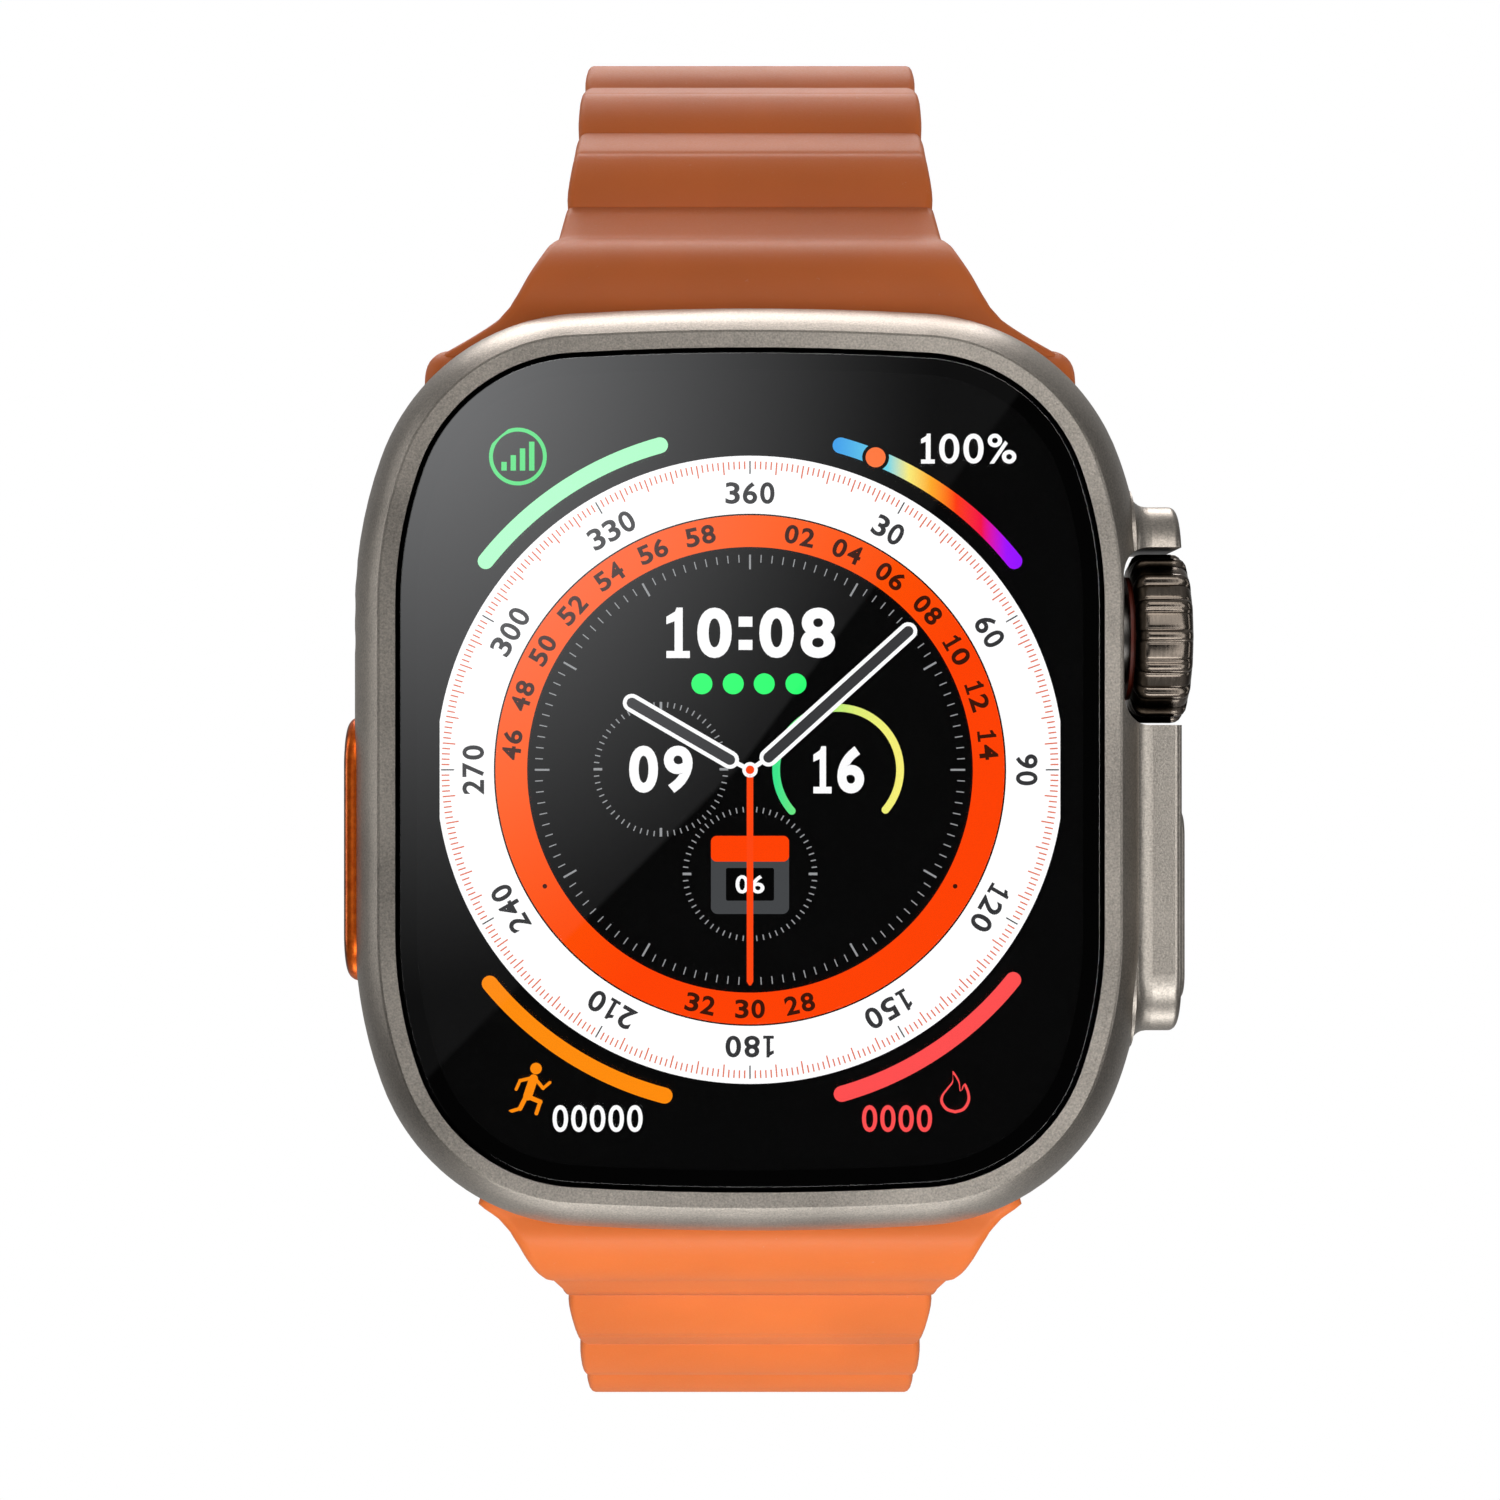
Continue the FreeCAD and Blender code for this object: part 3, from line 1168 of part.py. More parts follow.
def check_document():
    """Stops if any object failed, or any piece isn't a valid closed solid."""
    doc.recompute()
    for obj in doc.Objects:
        failed = {"Invalid", "Error"} & set(obj.State)
        if failed:
            raise RuntimeError(f"{obj.Label} ({obj.Name}) is {obj.State}")
    bad = [o.Label for o in subparts if o.Shape.isNull() or not o.Shape.isValid() or not o.Shape.Solids]
    if bad:
        raise RuntimeError(f"no valid solid: {bad}")


def write_parts():
    os.makedirs("parts", exist_ok=True)
    for old in os.listdir("parts"):
        os.remove(os.path.join("parts", old))
    for obj in subparts:
        obj.Shape.exportStep(os.path.join("parts", obj.Label + ".step"))


build_mid_case()
build_front()
build_rear()
build_electronics()
build_crown()
build_button("side_button", 1, "0.4")
build_button("action_button", -1, "0.6")
build_release("upper_release_button", 1)
build_release("lower_release_button", -1)
build_strap("upper", UPPER, UPPER_MAGNETS)
build_strap("lower", LOWER, LOWER_MAGNETS)
check_document()
write_parts()
print(len(subparts), "parts written")
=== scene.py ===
"""Looks of the running watch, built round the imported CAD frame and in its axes.

Sizes are in millimetres until MM turns them into Blender's metres. The stage is in metres throughout.
"""

import json
import math

import bmesh
import bpy
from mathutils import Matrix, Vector

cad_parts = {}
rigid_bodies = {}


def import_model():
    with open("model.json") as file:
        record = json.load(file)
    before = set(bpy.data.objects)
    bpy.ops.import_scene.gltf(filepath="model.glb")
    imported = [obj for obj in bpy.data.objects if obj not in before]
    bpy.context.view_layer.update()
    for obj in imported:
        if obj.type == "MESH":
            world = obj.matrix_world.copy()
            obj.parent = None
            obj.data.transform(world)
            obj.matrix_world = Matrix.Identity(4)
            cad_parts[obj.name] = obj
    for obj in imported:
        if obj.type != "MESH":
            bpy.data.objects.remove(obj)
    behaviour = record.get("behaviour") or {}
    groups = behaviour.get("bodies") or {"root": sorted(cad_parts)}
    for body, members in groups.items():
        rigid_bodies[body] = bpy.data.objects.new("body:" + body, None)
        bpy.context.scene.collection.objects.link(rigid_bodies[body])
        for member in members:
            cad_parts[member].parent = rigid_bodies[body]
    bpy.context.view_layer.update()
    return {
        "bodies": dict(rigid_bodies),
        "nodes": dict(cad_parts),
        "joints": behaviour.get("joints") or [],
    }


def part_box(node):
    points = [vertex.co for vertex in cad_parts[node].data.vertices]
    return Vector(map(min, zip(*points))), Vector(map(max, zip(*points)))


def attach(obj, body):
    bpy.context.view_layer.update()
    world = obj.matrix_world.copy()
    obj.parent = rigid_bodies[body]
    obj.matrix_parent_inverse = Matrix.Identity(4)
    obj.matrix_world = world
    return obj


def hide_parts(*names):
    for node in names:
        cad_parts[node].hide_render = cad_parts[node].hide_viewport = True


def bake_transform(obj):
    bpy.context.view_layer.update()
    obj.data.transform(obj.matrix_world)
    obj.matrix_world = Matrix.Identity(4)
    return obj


MM = 0.001
PI = math.pi

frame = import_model()


# ---------------------------------------------------------------- small helpers

def srgb(r, g, b):
    """Linear colour from 0-255 sRGB values."""
    def linear(c):
        c /= 255
        return c / 12.92 if c <= 0.04045 else ((c + 0.055) / 1.055) ** 2.4

    return (linear(r), linear(g), linear(b), 1.0)


def mix(a, b, t):
    return a + (b - a) * t


def smoothstep(t):
    t = max(0.0, min(1.0, t))
    return t * t * (3 - 2 * t)


def new_object(name, vertices, faces, material, smooth=True):
    """A mesh object from points in millimetres."""
    mesh = bpy.data.meshes.new(name)
    mesh.from_pydata([(x * MM, y * MM, z * MM) for x, y, z in vertices], [], faces)
    mesh.validate()
    work = bmesh.new()
    work.from_mesh(mesh)
    bmesh.ops.recalc_face_normals(work, faces=work.faces)
    work.to_mesh(mesh)
    work.free()
    mesh.materials.append(material)
    for face in mesh.polygons:
        face.use_smooth = smooth
    obj = bpy.data.objects.new(name, mesh)
    bpy.context.scene.collection.objects.link(obj)
    return obj


def loft(name, rings, material):
    """A skin through equal-sized closed rings of points, with a fan at each end."""
    count = len(rings[0])
    vertices = [p for ring in rings for p in ring]
    faces = []
    for i in range(len(rings) - 1):
        for j in range(count):
            k = (j + 1) % count
            faces.append((i * count + j, i * count + k, (i + 1) * count + k, (i + 1) * count + j))
    sides = len(faces)
    for base in (0, (len(rings) - 1) * count):
        centre = [sum(vertices[base + j][a] for j in range(count)) / count for a in range(3)]
        vertices.append(tuple(centre))
        hub = len(vertices) - 1
        faces += [(base + j, base + (j + 1) % count, hub) for j in range(count)]
    piece = new_object(name, vertices, faces, material)
    for face in list(piece.data.polygons)[sides:]:
        face.use_smooth = False
    return piece


# ---------------------------------------------------------------- materials

class Nodes:
    """Short calls for building a material's nodes."""

    def __init__(self, name):
        self.material = bpy.data.materials.new(name)
        self.material.use_nodes = True
        self.tree = self.material.node_tree
        self.tree.nodes.clear()
        self.output = self.tree.nodes.new("ShaderNodeOutputMaterial")
        self.place = self.tree.nodes.new("ShaderNodeTexCoord").outputs["Object"]

    def add(self, kind, inputs=None, **settings):
        node = self.tree.nodes.new("ShaderNode" + kind)
        for key, setting in settings.items():
            setattr(node, key, setting)
        for key, wanted in (inputs or {}).items():
            self.feed(node.inputs[key], wanted)
        return node

    def feed(self, socket, wanted):
        if isinstance(wanted, bpy.types.NodeSocket):
            self.tree.links.new(wanted, socket)
        else:
            socket.default_value = wanted

    def noise(self, scale, detail=3.0, roughness=0.5, stretch=None):
        """Noise at a scale in features per metre."""
        place = self.place
        if stretch:
            place = self.add("Mapping", {"Vector": place, "Scale": stretch}).outputs["Vector"]
        inputs = {"Vector": place, "Scale": scale, "Detail": detail, "Roughness": roughness}
        return self.add("TexNoise", inputs).outputs["Fac"]

    def ramp(self, factor, stops):
        node = self.add("ValToRGB", {"Fac": factor})
        elements = node.color_ramp.elements
        elements[0].position, elements[0].color = stops[0]
        elements[1].position, elements[1].color = stops[-1]
        for position, colour in stops[1:-1]:
            element = elements.new(position)
            element.color = colour
        return node.outputs["Color"]

    def span(self, factor, low, high, to_low=0.0, to_high=1.0):
        inputs = {"Value": factor, "From Min": low, "From Max": high, "To Min": to_low, "To Max": to_high}
        return self.add("MapRange", inputs).outputs["Result"]

    def math(self, operation, a, b=0.0):
        node = self.add("Math", operation=operation)
        self.feed(node.inputs[0], a)
        self.feed(node.inputs[1], b)
        return node.outputs["Value"]

    def blend(self, factor, a, b):
        node = self.add("Mix", data_type="RGBA")
        for index, wanted in ((0, factor), (6, a), (7, b)):
            self.feed(node.inputs[index], wanted)
        return node.outputs[2]

    def bump(self, height, strength, distance, normal=None):
        inputs = {"Height": height, "Strength": strength, "Distance": distance}
        if normal:
            inputs["Normal"] = normal
        return self.add("Bump", inputs).outputs["Normal"]

    def axis(self, name):
        return self.add("SeparateXYZ", {"Vector": self.place}).outputs[name]

    def finish(self, shader):
        self.tree.links.new(shader, self.output.inputs["Surface"])
        return self.material

    def principled(self, inputs):
        return self.finish(self.add("BsdfPrincipled", inputs).outputs["BSDF"])


def blasted_metal(name, colour, grain=0.5, roughness=0.36, shade=0.18):
    """Bead-blasted metal: a fine bright-and-dark grain over faint cloudy wear, and painted shade in its
    grooves.
    """
    n = Nodes(name)
    speckle = n.noise(9000, 2.0, 0.7)
    cloud = n.noise(120, 4.0)
    dark = tuple(c * (1 - shade * 2.2) for c in colour[:3]) + (1.0,)
    light = tuple(min(1.0, c * (1 + shade)) for c in colour[:3]) + (1.0,)
    tint = n.ramp(n.math("ADD", n.math("MULTIPLY", speckle, 0.75), n.math("MULTIPLY", cloud, 0.25)),
                  [(0.32, dark), (0.68, light)])
    painted_shade_occlusion = n.add("AmbientOcclusion", {"Distance": 0.0016}, samples=8).outputs["AO"]
    # Painted shade: the colour turns near black where ambient occlusion finds grooves and corners.
    tint = n.blend(n.span(painted_shade_occlusion, 0.45, 0.85, 1.0, 0.0), tint, (0.02, 0.018, 0.016, 1.0))
    rough = n.span(cloud, 0.3, 0.7, roughness - 0.04, roughness + 0.06)
    normal = n.bump(speckle, grain, 0.00002)
    return n.principled({"Base Color": tint, "Metallic": 1.0, "Roughness": rough, "Normal": normal})


def plain_metal(name, colour, roughness, brushed=None):
    """Machined metal with faint tool marks along one axis."""
    n = Nodes(name)
    marks = n.noise(1500, 3.0, 0.6, stretch=brushed or (1, 1, 1))
    dark = tuple(c * 0.75 for c in colour[:3]) + (1.0,)
    tint = n.ramp(marks, [(0.3, dark), (0.7, colour)])
    rough = n.span(marks, 0.3, 0.7, roughness * 0.8, roughness * 1.25)
    normal = n.bump(marks, 0.25, 0.00002)
    return n.principled({"Base Color": tint, "Metallic": 1.0, "Roughness": rough, "Normal": normal})


def silicone(name, colour, sheen=0.12):
    """Matte silicone: soft light in the skin, a powdery sheen and a very fine moulded texture."""
    n = Nodes(name)
    fine = n.noise(7000, 3.0, 0.6)
    broad = n.noise(90, 3.0)
    deep = tuple(c * 0.86 for c in colour[:3]) + (1.0,)
    tint = n.ramp(broad, [(0.3, deep), (0.7, colour)])
    specks = n.ramp(n.noise(2600, 2.0, 0.8), [(0.70, (0, 0, 0, 1)), (0.78, (1, 1, 1, 1))])
    tint = n.blend(n.math("MULTIPLY", specks, 0.10), tint, (0.9, 0.75, 0.65, 1.0))
    rough = n.span(fine, 0.3, 0.7, 0.46, 0.60)
    normal = n.bump(fine, 0.30, 0.00002)
    return n.principled({
        "Base Color": tint, "Roughness": rough, "Normal": normal, "Sheen Weight": sheen,
        "Sheen Roughness": 0.45, "Sheen Tint": (1.0, 0.72, 0.62, 1.0), "Specular IOR Level": 0.40,
        "Subsurface Weight": 0.10, "Subsurface Radius": (0.8, 0.25, 0.08), "Subsurface Scale": 0.0006,
    })


def moulded(name, colour, roughness=0.4, speck=3000, bump=0.2):
    """Moulded plastic or rubber with a fine even texture."""
    n = Nodes(name)
    fine = n.noise(speck, 3.0, 0.6)
    dark = tuple(c * 0.8 for c in colour[:3]) + (1.0,)
    tint = n.ramp(fine, [(0.3, dark), (0.7, colour)])
    rough = n.span(fine, 0.3, 0.7, roughness * 0.85, roughness * 1.2)
    normal = n.bump(fine, bump, 0.00002)
    return n.principled({"Base Color": tint, "Roughness": rough, "Normal": normal})


def sapphire():
    """Clear crystal with a blacked edge, and on its front a painted reflection: emission in the shape of the
    slanted reflection of a large soft light, which is not a lamp in the scene.

    The imagined light stands high behind the viewer. It is worked out from the reflected ray, so it slides
    over the glass as a real one would.
    """
    n = Nodes("sapphire_crystal")
    geometry = n.add("NewGeometry")
    mirrored = n.add("VectorMath", {0: geometry.outputs["Incoming"], 1: geometry.outputs["True Normal"]},
                     operation="REFLECT")
    ray = mirrored.outputs["Vector"]
    at, way = (n.add("SeparateXYZ", {"Vector": v}).outputs for v in (geometry.outputs["Position"], ray))
    steps = n.math("DIVIDE", n.math("SUBTRACT", -LIGHT_BACK, at["Y"]), way["Y"])
    x, z = (
        n.math("DIVIDE", n.math("ADD", at[axis], n.math("MULTIPLY", steps, way[axis])), LIGHT_GROW)
        for axis in ("X", "Z")
    )
    upper = n.math("ADD", n.math("MULTIPLY", x, SHEEN_SLOPE), SHEEN_KINK * MM)
    over = n.math("SUBTRACT", z, n.math("MAXIMUM", x, upper))
    edge = n.span(over, -SHEEN_SOFT * MM, SHEEN_SOFT * MM)
    right = n.math("MULTIPLY", n.math("SUBTRACT", x, SHEEN_CORNER[0] * MM), SHEEN_SQUEEZE)
    down = n.math("SUBTRACT", z, SHEEN_CORNER[1] * MM)
    away = n.math("SQRT", n.math("ADD", n.math("MULTIPLY", right, right), n.math("MULTIPLY", down, down)))
    fade = n.math("ADD", n.math("POWER", n.span(away, SHEEN_REACH * MM, 0.0), SHEEN_FALL), SHEEN_LEFT)
    mirror = n.math("DIVIDE", n.add("Fresnel", {"IOR": SAPPHIRE_IOR}).outputs["Fac"], HEAD_ON_MIRROR)
    outside = n.math("SUBTRACT", 1.0, geometry.outputs["Backfacing"])
    seen = n.math("MULTIPLY", outside, n.math("GREATER_THAN", way["Y"], 0.05))
    level = n.math("MULTIPLY", n.math("MULTIPLY", edge, fade), n.math("MULTIPLY", mirror, seen))
    # Painted reflection: the sheen glows as emission, in place of the reflection of a light that is not in
    # the scene.
    lit = n.add("Emission", {"Color": (0.97, 0.98, 1.0, 1), "Strength": n.math("MULTIPLY", level, SHEEN)})
    tint = n.ramp(n.noise(60, 2.0), [(0.3, (0.985, 0.99, 1.0, 1)), (0.7, (1, 1, 1, 1))])
    clear = n.add("BsdfPrincipled", {
        "Base Color": tint, "Roughness": 0.0, "Transmission Weight": 1.0, "IOR": SAPPHIRE_IOR,
    })
    both = n.add("AddShader")
    n.tree.links.new(clear.outputs["BSDF"], both.inputs[0])
    n.tree.links.new(lit.outputs["Emission"], both.inputs[1])
    # Faces that turn sideways are drawn matt black, which hides their reflections.
    facing = n.add("SeparateXYZ", {"Vector": geometry.outputs["True Normal"]}).outputs["Y"]
    rim = n.add("MixShader", {"Fac": n.math("LESS_THAN", n.math("ABSOLUTE", facing), FLAT_FACE)})
    sideways_black = n.add("BsdfDiffuse", {"Color": (0.001, 0.001, 0.001, 1)})
    n.tree.links.new(both.outputs["Shader"], rim.inputs[1])
    n.tree.links.new(sideways_black.outputs["BSDF"], rim.inputs[2])
    return n.finish(rim.outputs["Shader"])


def glow(name, colour, strength):
    """A lit area of the display, with the very fine grid of its pixels."""
    n = Nodes(name)
    x, z = n.axis("X"), n.axis("Z")
    across_grid, up_grid = (n.math("SINE", n.math("MULTIPLY", place, PIXEL_WAVE)) for place in (x, z))
    grid = n.math("ADD", across_grid, up_grid)
    level = n.span(grid, -2.0, 2.0, strength * 0.97, strength * 1.03)
    lit = n.add("Emission", {"Color": colour, "Strength": level}).outputs["Emission"]
    return n.finish(lit)


def unlit_black(name):
    """The black behind the glass: an absorbing coat with only a trace of grey in it."""
    n = Nodes(name)
    low, high = (0.0004, 0.0004, 0.0005, 1), (0.0012, 0.0012, 0.0014, 1)
    tint = n.ramp(n.noise(4000, 2.0), [(0.3, low), (0.7, high)])
    return n.principled({"Base Color": tint, "Roughness": 0.9, "Specular IOR Level": 0.05})


TITANIUM = srgb(196, 188, 178)
ORANGE = srgb(232, 118, 48)
SAPPHIRE_IOR = 1.77
VIEWER = 0.150                # the camera's distance from the glass
# The crystal's sheen is a painted reflection; its light below is imagined and is not a lamp in the scene.
LIGHT_BACK = 0.45             # the sheen's light stands this far in front of the glass
LIGHT_GROW = 1 + LIGHT_BACK / VIEWER
SHEEN, SHEEN_CORNER, SHEEN_REACH = 0.208, (-18.0, 22.0), 35.0
SHEEN_SLOPE, SHEEN_KINK = 1.338, 0.1      # the light's edge climbs at 45 degrees, then steeper past this
SHEEN_SOFT, SHEEN_SQUEEZE = 0.2, 1.25     # half the edge's blur, and how much faster it fades sideways
SHEEN_FALL, SHEEN_LEFT = 1.5, 0.02        # the fade's power, and what is left beyond its reach
HEAD_ON_MIRROR = 0.0773       # what the crystal reflects when seen straight on
FLAT_FACE = 0.98              # the glass is clear where it faces forwards or backwards by more than this
PIXEL_WAVE = 78000.0          # radians per metre, for pixels 0.08 mm apart
LIT, RING_LIT = 1.16, 1.24    # strengths of a lit colour and of the white ring, seen through the glass
mats = {
    "titanium": blasted_metal("blasted_titanium", TITANIUM),
    "crown_titanium": plain_metal("polished_crown", srgb(128, 118, 108), 0.20, brushed=(6, 1, 1)),
    "silicone": silicone("orange_silicone", ORANGE),
    "sapphire": sapphire(),
    "display_black": unlit_black("display_black"),
    "seal": unlit_black("black_gasket"),
    "steel": plain_metal("machined_steel", (0.55, 0.55, 0.56, 1), 0.28),
    "dark_steel": plain_metal("dark_steel", (0.20, 0.19, 0.18, 1), 0.35),
    "magnet": plain_metal("nickel_plate", (0.66, 0.66, 0.68, 1), 0.18),
    "copper": plain_metal("enamelled_copper", (0.60, 0.25, 0.10, 1), 0.30, brushed=(1, 8, 1)),
    "chip": moulded("chip_epoxy", (0.02, 0.02, 0.022, 1), 0.45),
    "board": moulded("solder_mask", (0.01, 0.06, 0.03, 1), 0.30),
    "foil": moulded("battery_wrap", (0.03, 0.03, 0.035, 1), 0.35),
    "mesh": plain_metal("woven_mesh", (0.06, 0.06, 0.06, 1), 0.5, brushed=(1, 9, 9)),
    "diode": moulded("clear_epoxy", (0.05, 0.20, 0.08, 1), 0.1),
    # A darker orange than the accent ring's own: partly its colour, partly painted shade for its recess by
    # the crown.
    "accent": moulded("orange_accent", srgb(110, 34, 12), 0.5),
}


def anodised_button():
    """Action button: dark polished face, with bright orange anodising round its edge."""
    n = Nodes("action_button_finish")
    lo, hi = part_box("action_button")
    face = n.span(n.axis("X"), lo.x + 0.00008, lo.x + 0.00022)
    marks = n.noise(2500, 3.0, 0.6)
    orange = n.ramp(marks, [(0.3, srgb(214, 84, 16)), (0.7, srgb(255, 122, 36))])
    bronze = n.ramp(marks, [(0.3, srgb(92, 74, 62)), (0.7, srgb(140, 112, 92))])
    tint = n.blend(face, bronze, orange)
    normal = n.bump(marks, 0.2, 0.00002)
    return n.principled({"Base Color": tint, "Metallic": 0.85, "Roughness": 0.32, "Normal": normal})


def sensor_dome():
    """Dark dome with a clear middle, a fine metal ring and the sensors' windows under it."""
    n = Nodes("sensor_dome")
    x, z = n.axis("X"), n.axis("Z")
    radius = n.math("SQRT", n.math("ADD", n.math("MULTIPLY", x, x), n.math("MULTIPLY", z, z)))
    black, dark, violet, metal = srgb(12, 12, 14), srgb(10, 10, 12), srgb(40, 30, 34), srgb(120, 116, 110)
    ring = n.ramp(n.span(radius, 0.0, 0.014), [
        (0.0, black), (0.11, srgb(14, 34, 22)), (0.20, srgb(18, 44, 28)), (0.23, dark), (0.36, black),
        (0.38, violet), (0.53, violet), (0.55, dark), (0.66, dark), (0.67, metal), (0.685, metal),
        (0.70, srgb(20, 20, 22)), (1.0, srgb(26, 26, 28)),
    ])
    rough = n.span(n.noise(700, 3.0), 0.3, 0.7, 0.06, 0.10)
    return n.principled({"Base Color": ring, "Roughness": rough, "Coat Weight": 1.0, "Coat Roughness": 0.03})


mats["action_button"] = anodised_button()
mats["dome"] = sensor_dome()
mats["cover"] = moulded("ceramic_cover", srgb(34, 33, 34), 0.22, speck=5000, bump=0.08)

NODE_LOOKS = {
    "mid_case": "titanium", "side_button": "titanium", "action_button": "action_button",
    "front_glass": "sapphire", "display_panel": "display_black", "display_seal": "seal",
    "gps_antenna": "copper", "rear_cover": "cover", "rear_seal": "seal", "rear_screws": "steel",
    "sensor_window": "dome", "sensor_board": "board", "sensor_leds": "diode", "charging_coil": "copper",
    "charging_magnet": "magnet", "main_board": "board", "board_chips": "chip", "battery": "foil",
    "haptic_motor": "steel", "speaker_module": "chip", "microphone": "steel", "button_switches": "steel",
    "speaker_mesh": "mesh", "crown_tube": "dark_steel", "crown_switch": "chip", "crown_pusher": "steel",
    "crown_stem": "steel", "crown_seals": "seal", "crown_accent_ring": "accent", "side_button_seals": "seal",
    "action_button_seals": "seal", "upper_release_button": "dark_steel", "lower_release_button": "dark_steel",
}


def look_of(node):
    if node in NODE_LOOKS:
        return NODE_LOOKS[node]
    if "magnets" in node:
        return "magnet"
    if "lug" in node:
        return "steel"
    return "silicone"


def dress_frame():
    """Gives every CAD node its finish."""
    for name, obj in frame["nodes"].items():
        obj.data.materials.clear()
        obj.data.materials.append(mats[look_of(name)])


# ---------------------------------------------------------------- strap

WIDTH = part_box("upper_strap_segment_1")[1].x / MM    # half the strap's width
SKIN, VALLEY, CREST = 0.6, 1.9, 2.66      # from the neutral line to the inside, a crease and a crest
LINK, RISE, CLIMB = 7.7, 0.53, 2.3        # a link's length, the share that climbs, and the climb's power
CREST_SLOPE = (1 - RISE) * LINK
CREST_DIP, CREST_SOFT = 0.10, 0.06        # how much the crest is rounded off, and over what share of a link
EDGE, EDGE_DEEP = 0.42, 0.62              # rounding of the sides, across the strap and through it
CREASE, CREASE_REACH = 0.10, 0.7          # how far the sides are pinched at a crease, and how far along
ROOT_EXTRA, ROOT_EXTRA_END = 0.29, 5.0    # extra half width next to the root, and where it has died away
TIP = 1.5                                 # length of the rounded tip


class StrapPath:
    """Neutral line of half a strap, rebuilt from its hinges: arcs that run on from one to the next."""

    def __init__(self, side, heading, shift):
        self.side = side
        self.shift = shift
        self.sign = 1 if side == "upper" else -1
        names = ["strap_open" if side == "upper" else "lower_hinge_1"]
        count = sum(1 for b in frame["bodies"] if b.startswith(side + "_link_"))
        names += [f"{side}_hinge_{i}" for i in range(2, count + 1)]
        joints = {j["name"]: j for j in frame["joints"]}
        places = [joints[n]["pos_m"] for n in names]
        self.count = count
        points = [(p[1] / MM, self.sign * p[2] / MM) for p in places]
        self.arcs = []
        for i in range(count):
            y, z = points[i]
            turn = 0.0
            if i + 1 < count:
                chord = math.atan2(points[i + 1][1] - z, points[i + 1][0] - y)
                turn = 2 * (heading - chord)
            self.arcs.append((y, z, heading, turn))
            heading -= turn
        self.segment = 2 * LINK
        self.length = self.segment * count

    def at(self, s, v):
        """Depth and unsigned height, s along the line and v outside it. s may be before the first hinge."""
        i = max(0, min(self.count - 1, int(s // self.segment)))
        y, z, heading, turn = self.arcs[i]
        u = s - i * self.segment
        if s < 0 or abs(turn) < 1e-6:
            cosine, sine = math.cos(heading), math.sin(heading)
            return y + u * cosine - v * sine, z + u * sine + v * cosine
        radius = self.segment / turn
        here = heading - u / radius
        return (
            y + radius * math.sin(heading) - (radius + v) * math.sin(here),
            z - radius * math.cos(heading) + (radius + v) * math.cos(here),
        )

    def point(self, x, s, v):
        y, z = self.at(s, v)
        return x, y, self.sign * z


def link_height(path, s):
    """Height of the outside above the neutral line: each link climbs to a crest and drops to a crease."""
    p = ((s - path.shift) / LINK) % 1.0
    if p < RISE:
        q = p / RISE
        climb = 1 - (1 - q) ** CLIMB
    else:
        climb = 1 - (p - RISE) / (1 - RISE)
    near = abs(p - RISE)
    if near < CREST_SOFT:
        climb -= CREST_DIP * (1 - near / CREST_SOFT) ** 2
    return mix(VALLEY, CREST, climb)


def link_width(path, s):
    """Half the strap's width, very slightly pinched at each crease."""
    p = ((s - path.shift) / LINK) % 1.0
    gap = min(p, 1 - p) * LINK
    extra = ROOT_EXTRA * (1 - smoothstep((s - path.shift) / ROOT_EXTRA_END)) if s > 0 else ROOT_EXTRA
    return WIDTH + extra - CREASE * math.exp(-((gap / CREASE_REACH) ** 2))


def section(half, low, high, edge):
    """Points round a flat bar's cross-section with rounded sides: x across and v through its thickness."""
    edge_v = min(EDGE_DEEP, (high - low) * 0.48)
    points = []
    flat = 7
    for k in range(flat):
        points.append((mix(-(half - edge), half - edge, k / (flat - 1)), high))
    steps = 7
    for k in range(1, steps):
        a = PI / 2 - k * PI / steps
        middle = high - edge_v if a > 0 else low + edge_v
        points.append((half - edge + edge * math.cos(a), middle + edge_v * math.sin(a)))
    for k in range(flat):
        points.append((mix(half - edge, -(half - edge), k / (flat - 1)), low))
    for k in range(1, steps):
        a = -PI / 2 - k * PI / steps
        middle = low + edge_v if math.sin(a) < 0 else high - edge_v
        points.append((-(half - edge) + edge * math.cos(a), middle + edge_v * math.sin(a)))
    return points


def stations(path, start, end):
    """Places along the strap, closer together at each crease and crest."""
    shares = [0.0, 0.012, 0.03, 0.06, 0.11, 0.18, 0.27, 0.36, 0.43, 0.48, 0.51, RISE, 0.55, 0.58,
              0.64, 0.74, 0.84, 0.92, 0.97, 0.99]
    first = int(math.floor(start / LINK)) - 1
    found = [start, end]
    for link in range(first, int(end / LINK) + 2):
        found += [(link + share) * LINK + path.shift for share in shares]
    return sorted({round(s, 4) for s in found if start <= s <= end})


def strap_ring(path, s, tail_end=None):
    """The strap's outline at s along its path, shrunk to a rounded tip where it nears tail_end."""
    low, high, half = -SKIN, link_height(path, s), link_width(path, s)
    if tail_end is not None:
        left = max(0.0, (tail_end - s) / TIP)
        if left < 1:
            shrink = math.sqrt(max(0.0, 1 - (1 - left) ** 2))
            middle = (low + high) / 2 - 0.35
            low, high = mix(middle, low, shrink), mix(middle, high, shrink)
            half -= 1.1 * (1 - shrink)
    return [path.point(x, s, v) for x, v in section(half, low, high, EDGE)]


def strap_piece(path, index):
    """The stretch of strap across one hinge, from the middle of a segment to the middle of the next."""
    start = (index - 0.5) * path.segment + path.shift if index else path.shift
    end = (index + 0.5) * path.segment + path.shift
    rings = [strap_ring(path, s) for s in stations(path, start, end)]
    name = f"{path.side}_strap_bend_{index + 1}"
    piece = loft(name, rings, mats["silicone"])
    metres(path.point(0, start, 0))
    metres(path.point(0, end, 0))
    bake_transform(piece)
    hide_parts(f"{path.side}_strap_segment_{index + 1}")


def metres(point):
    return tuple(c * MM for c in point)


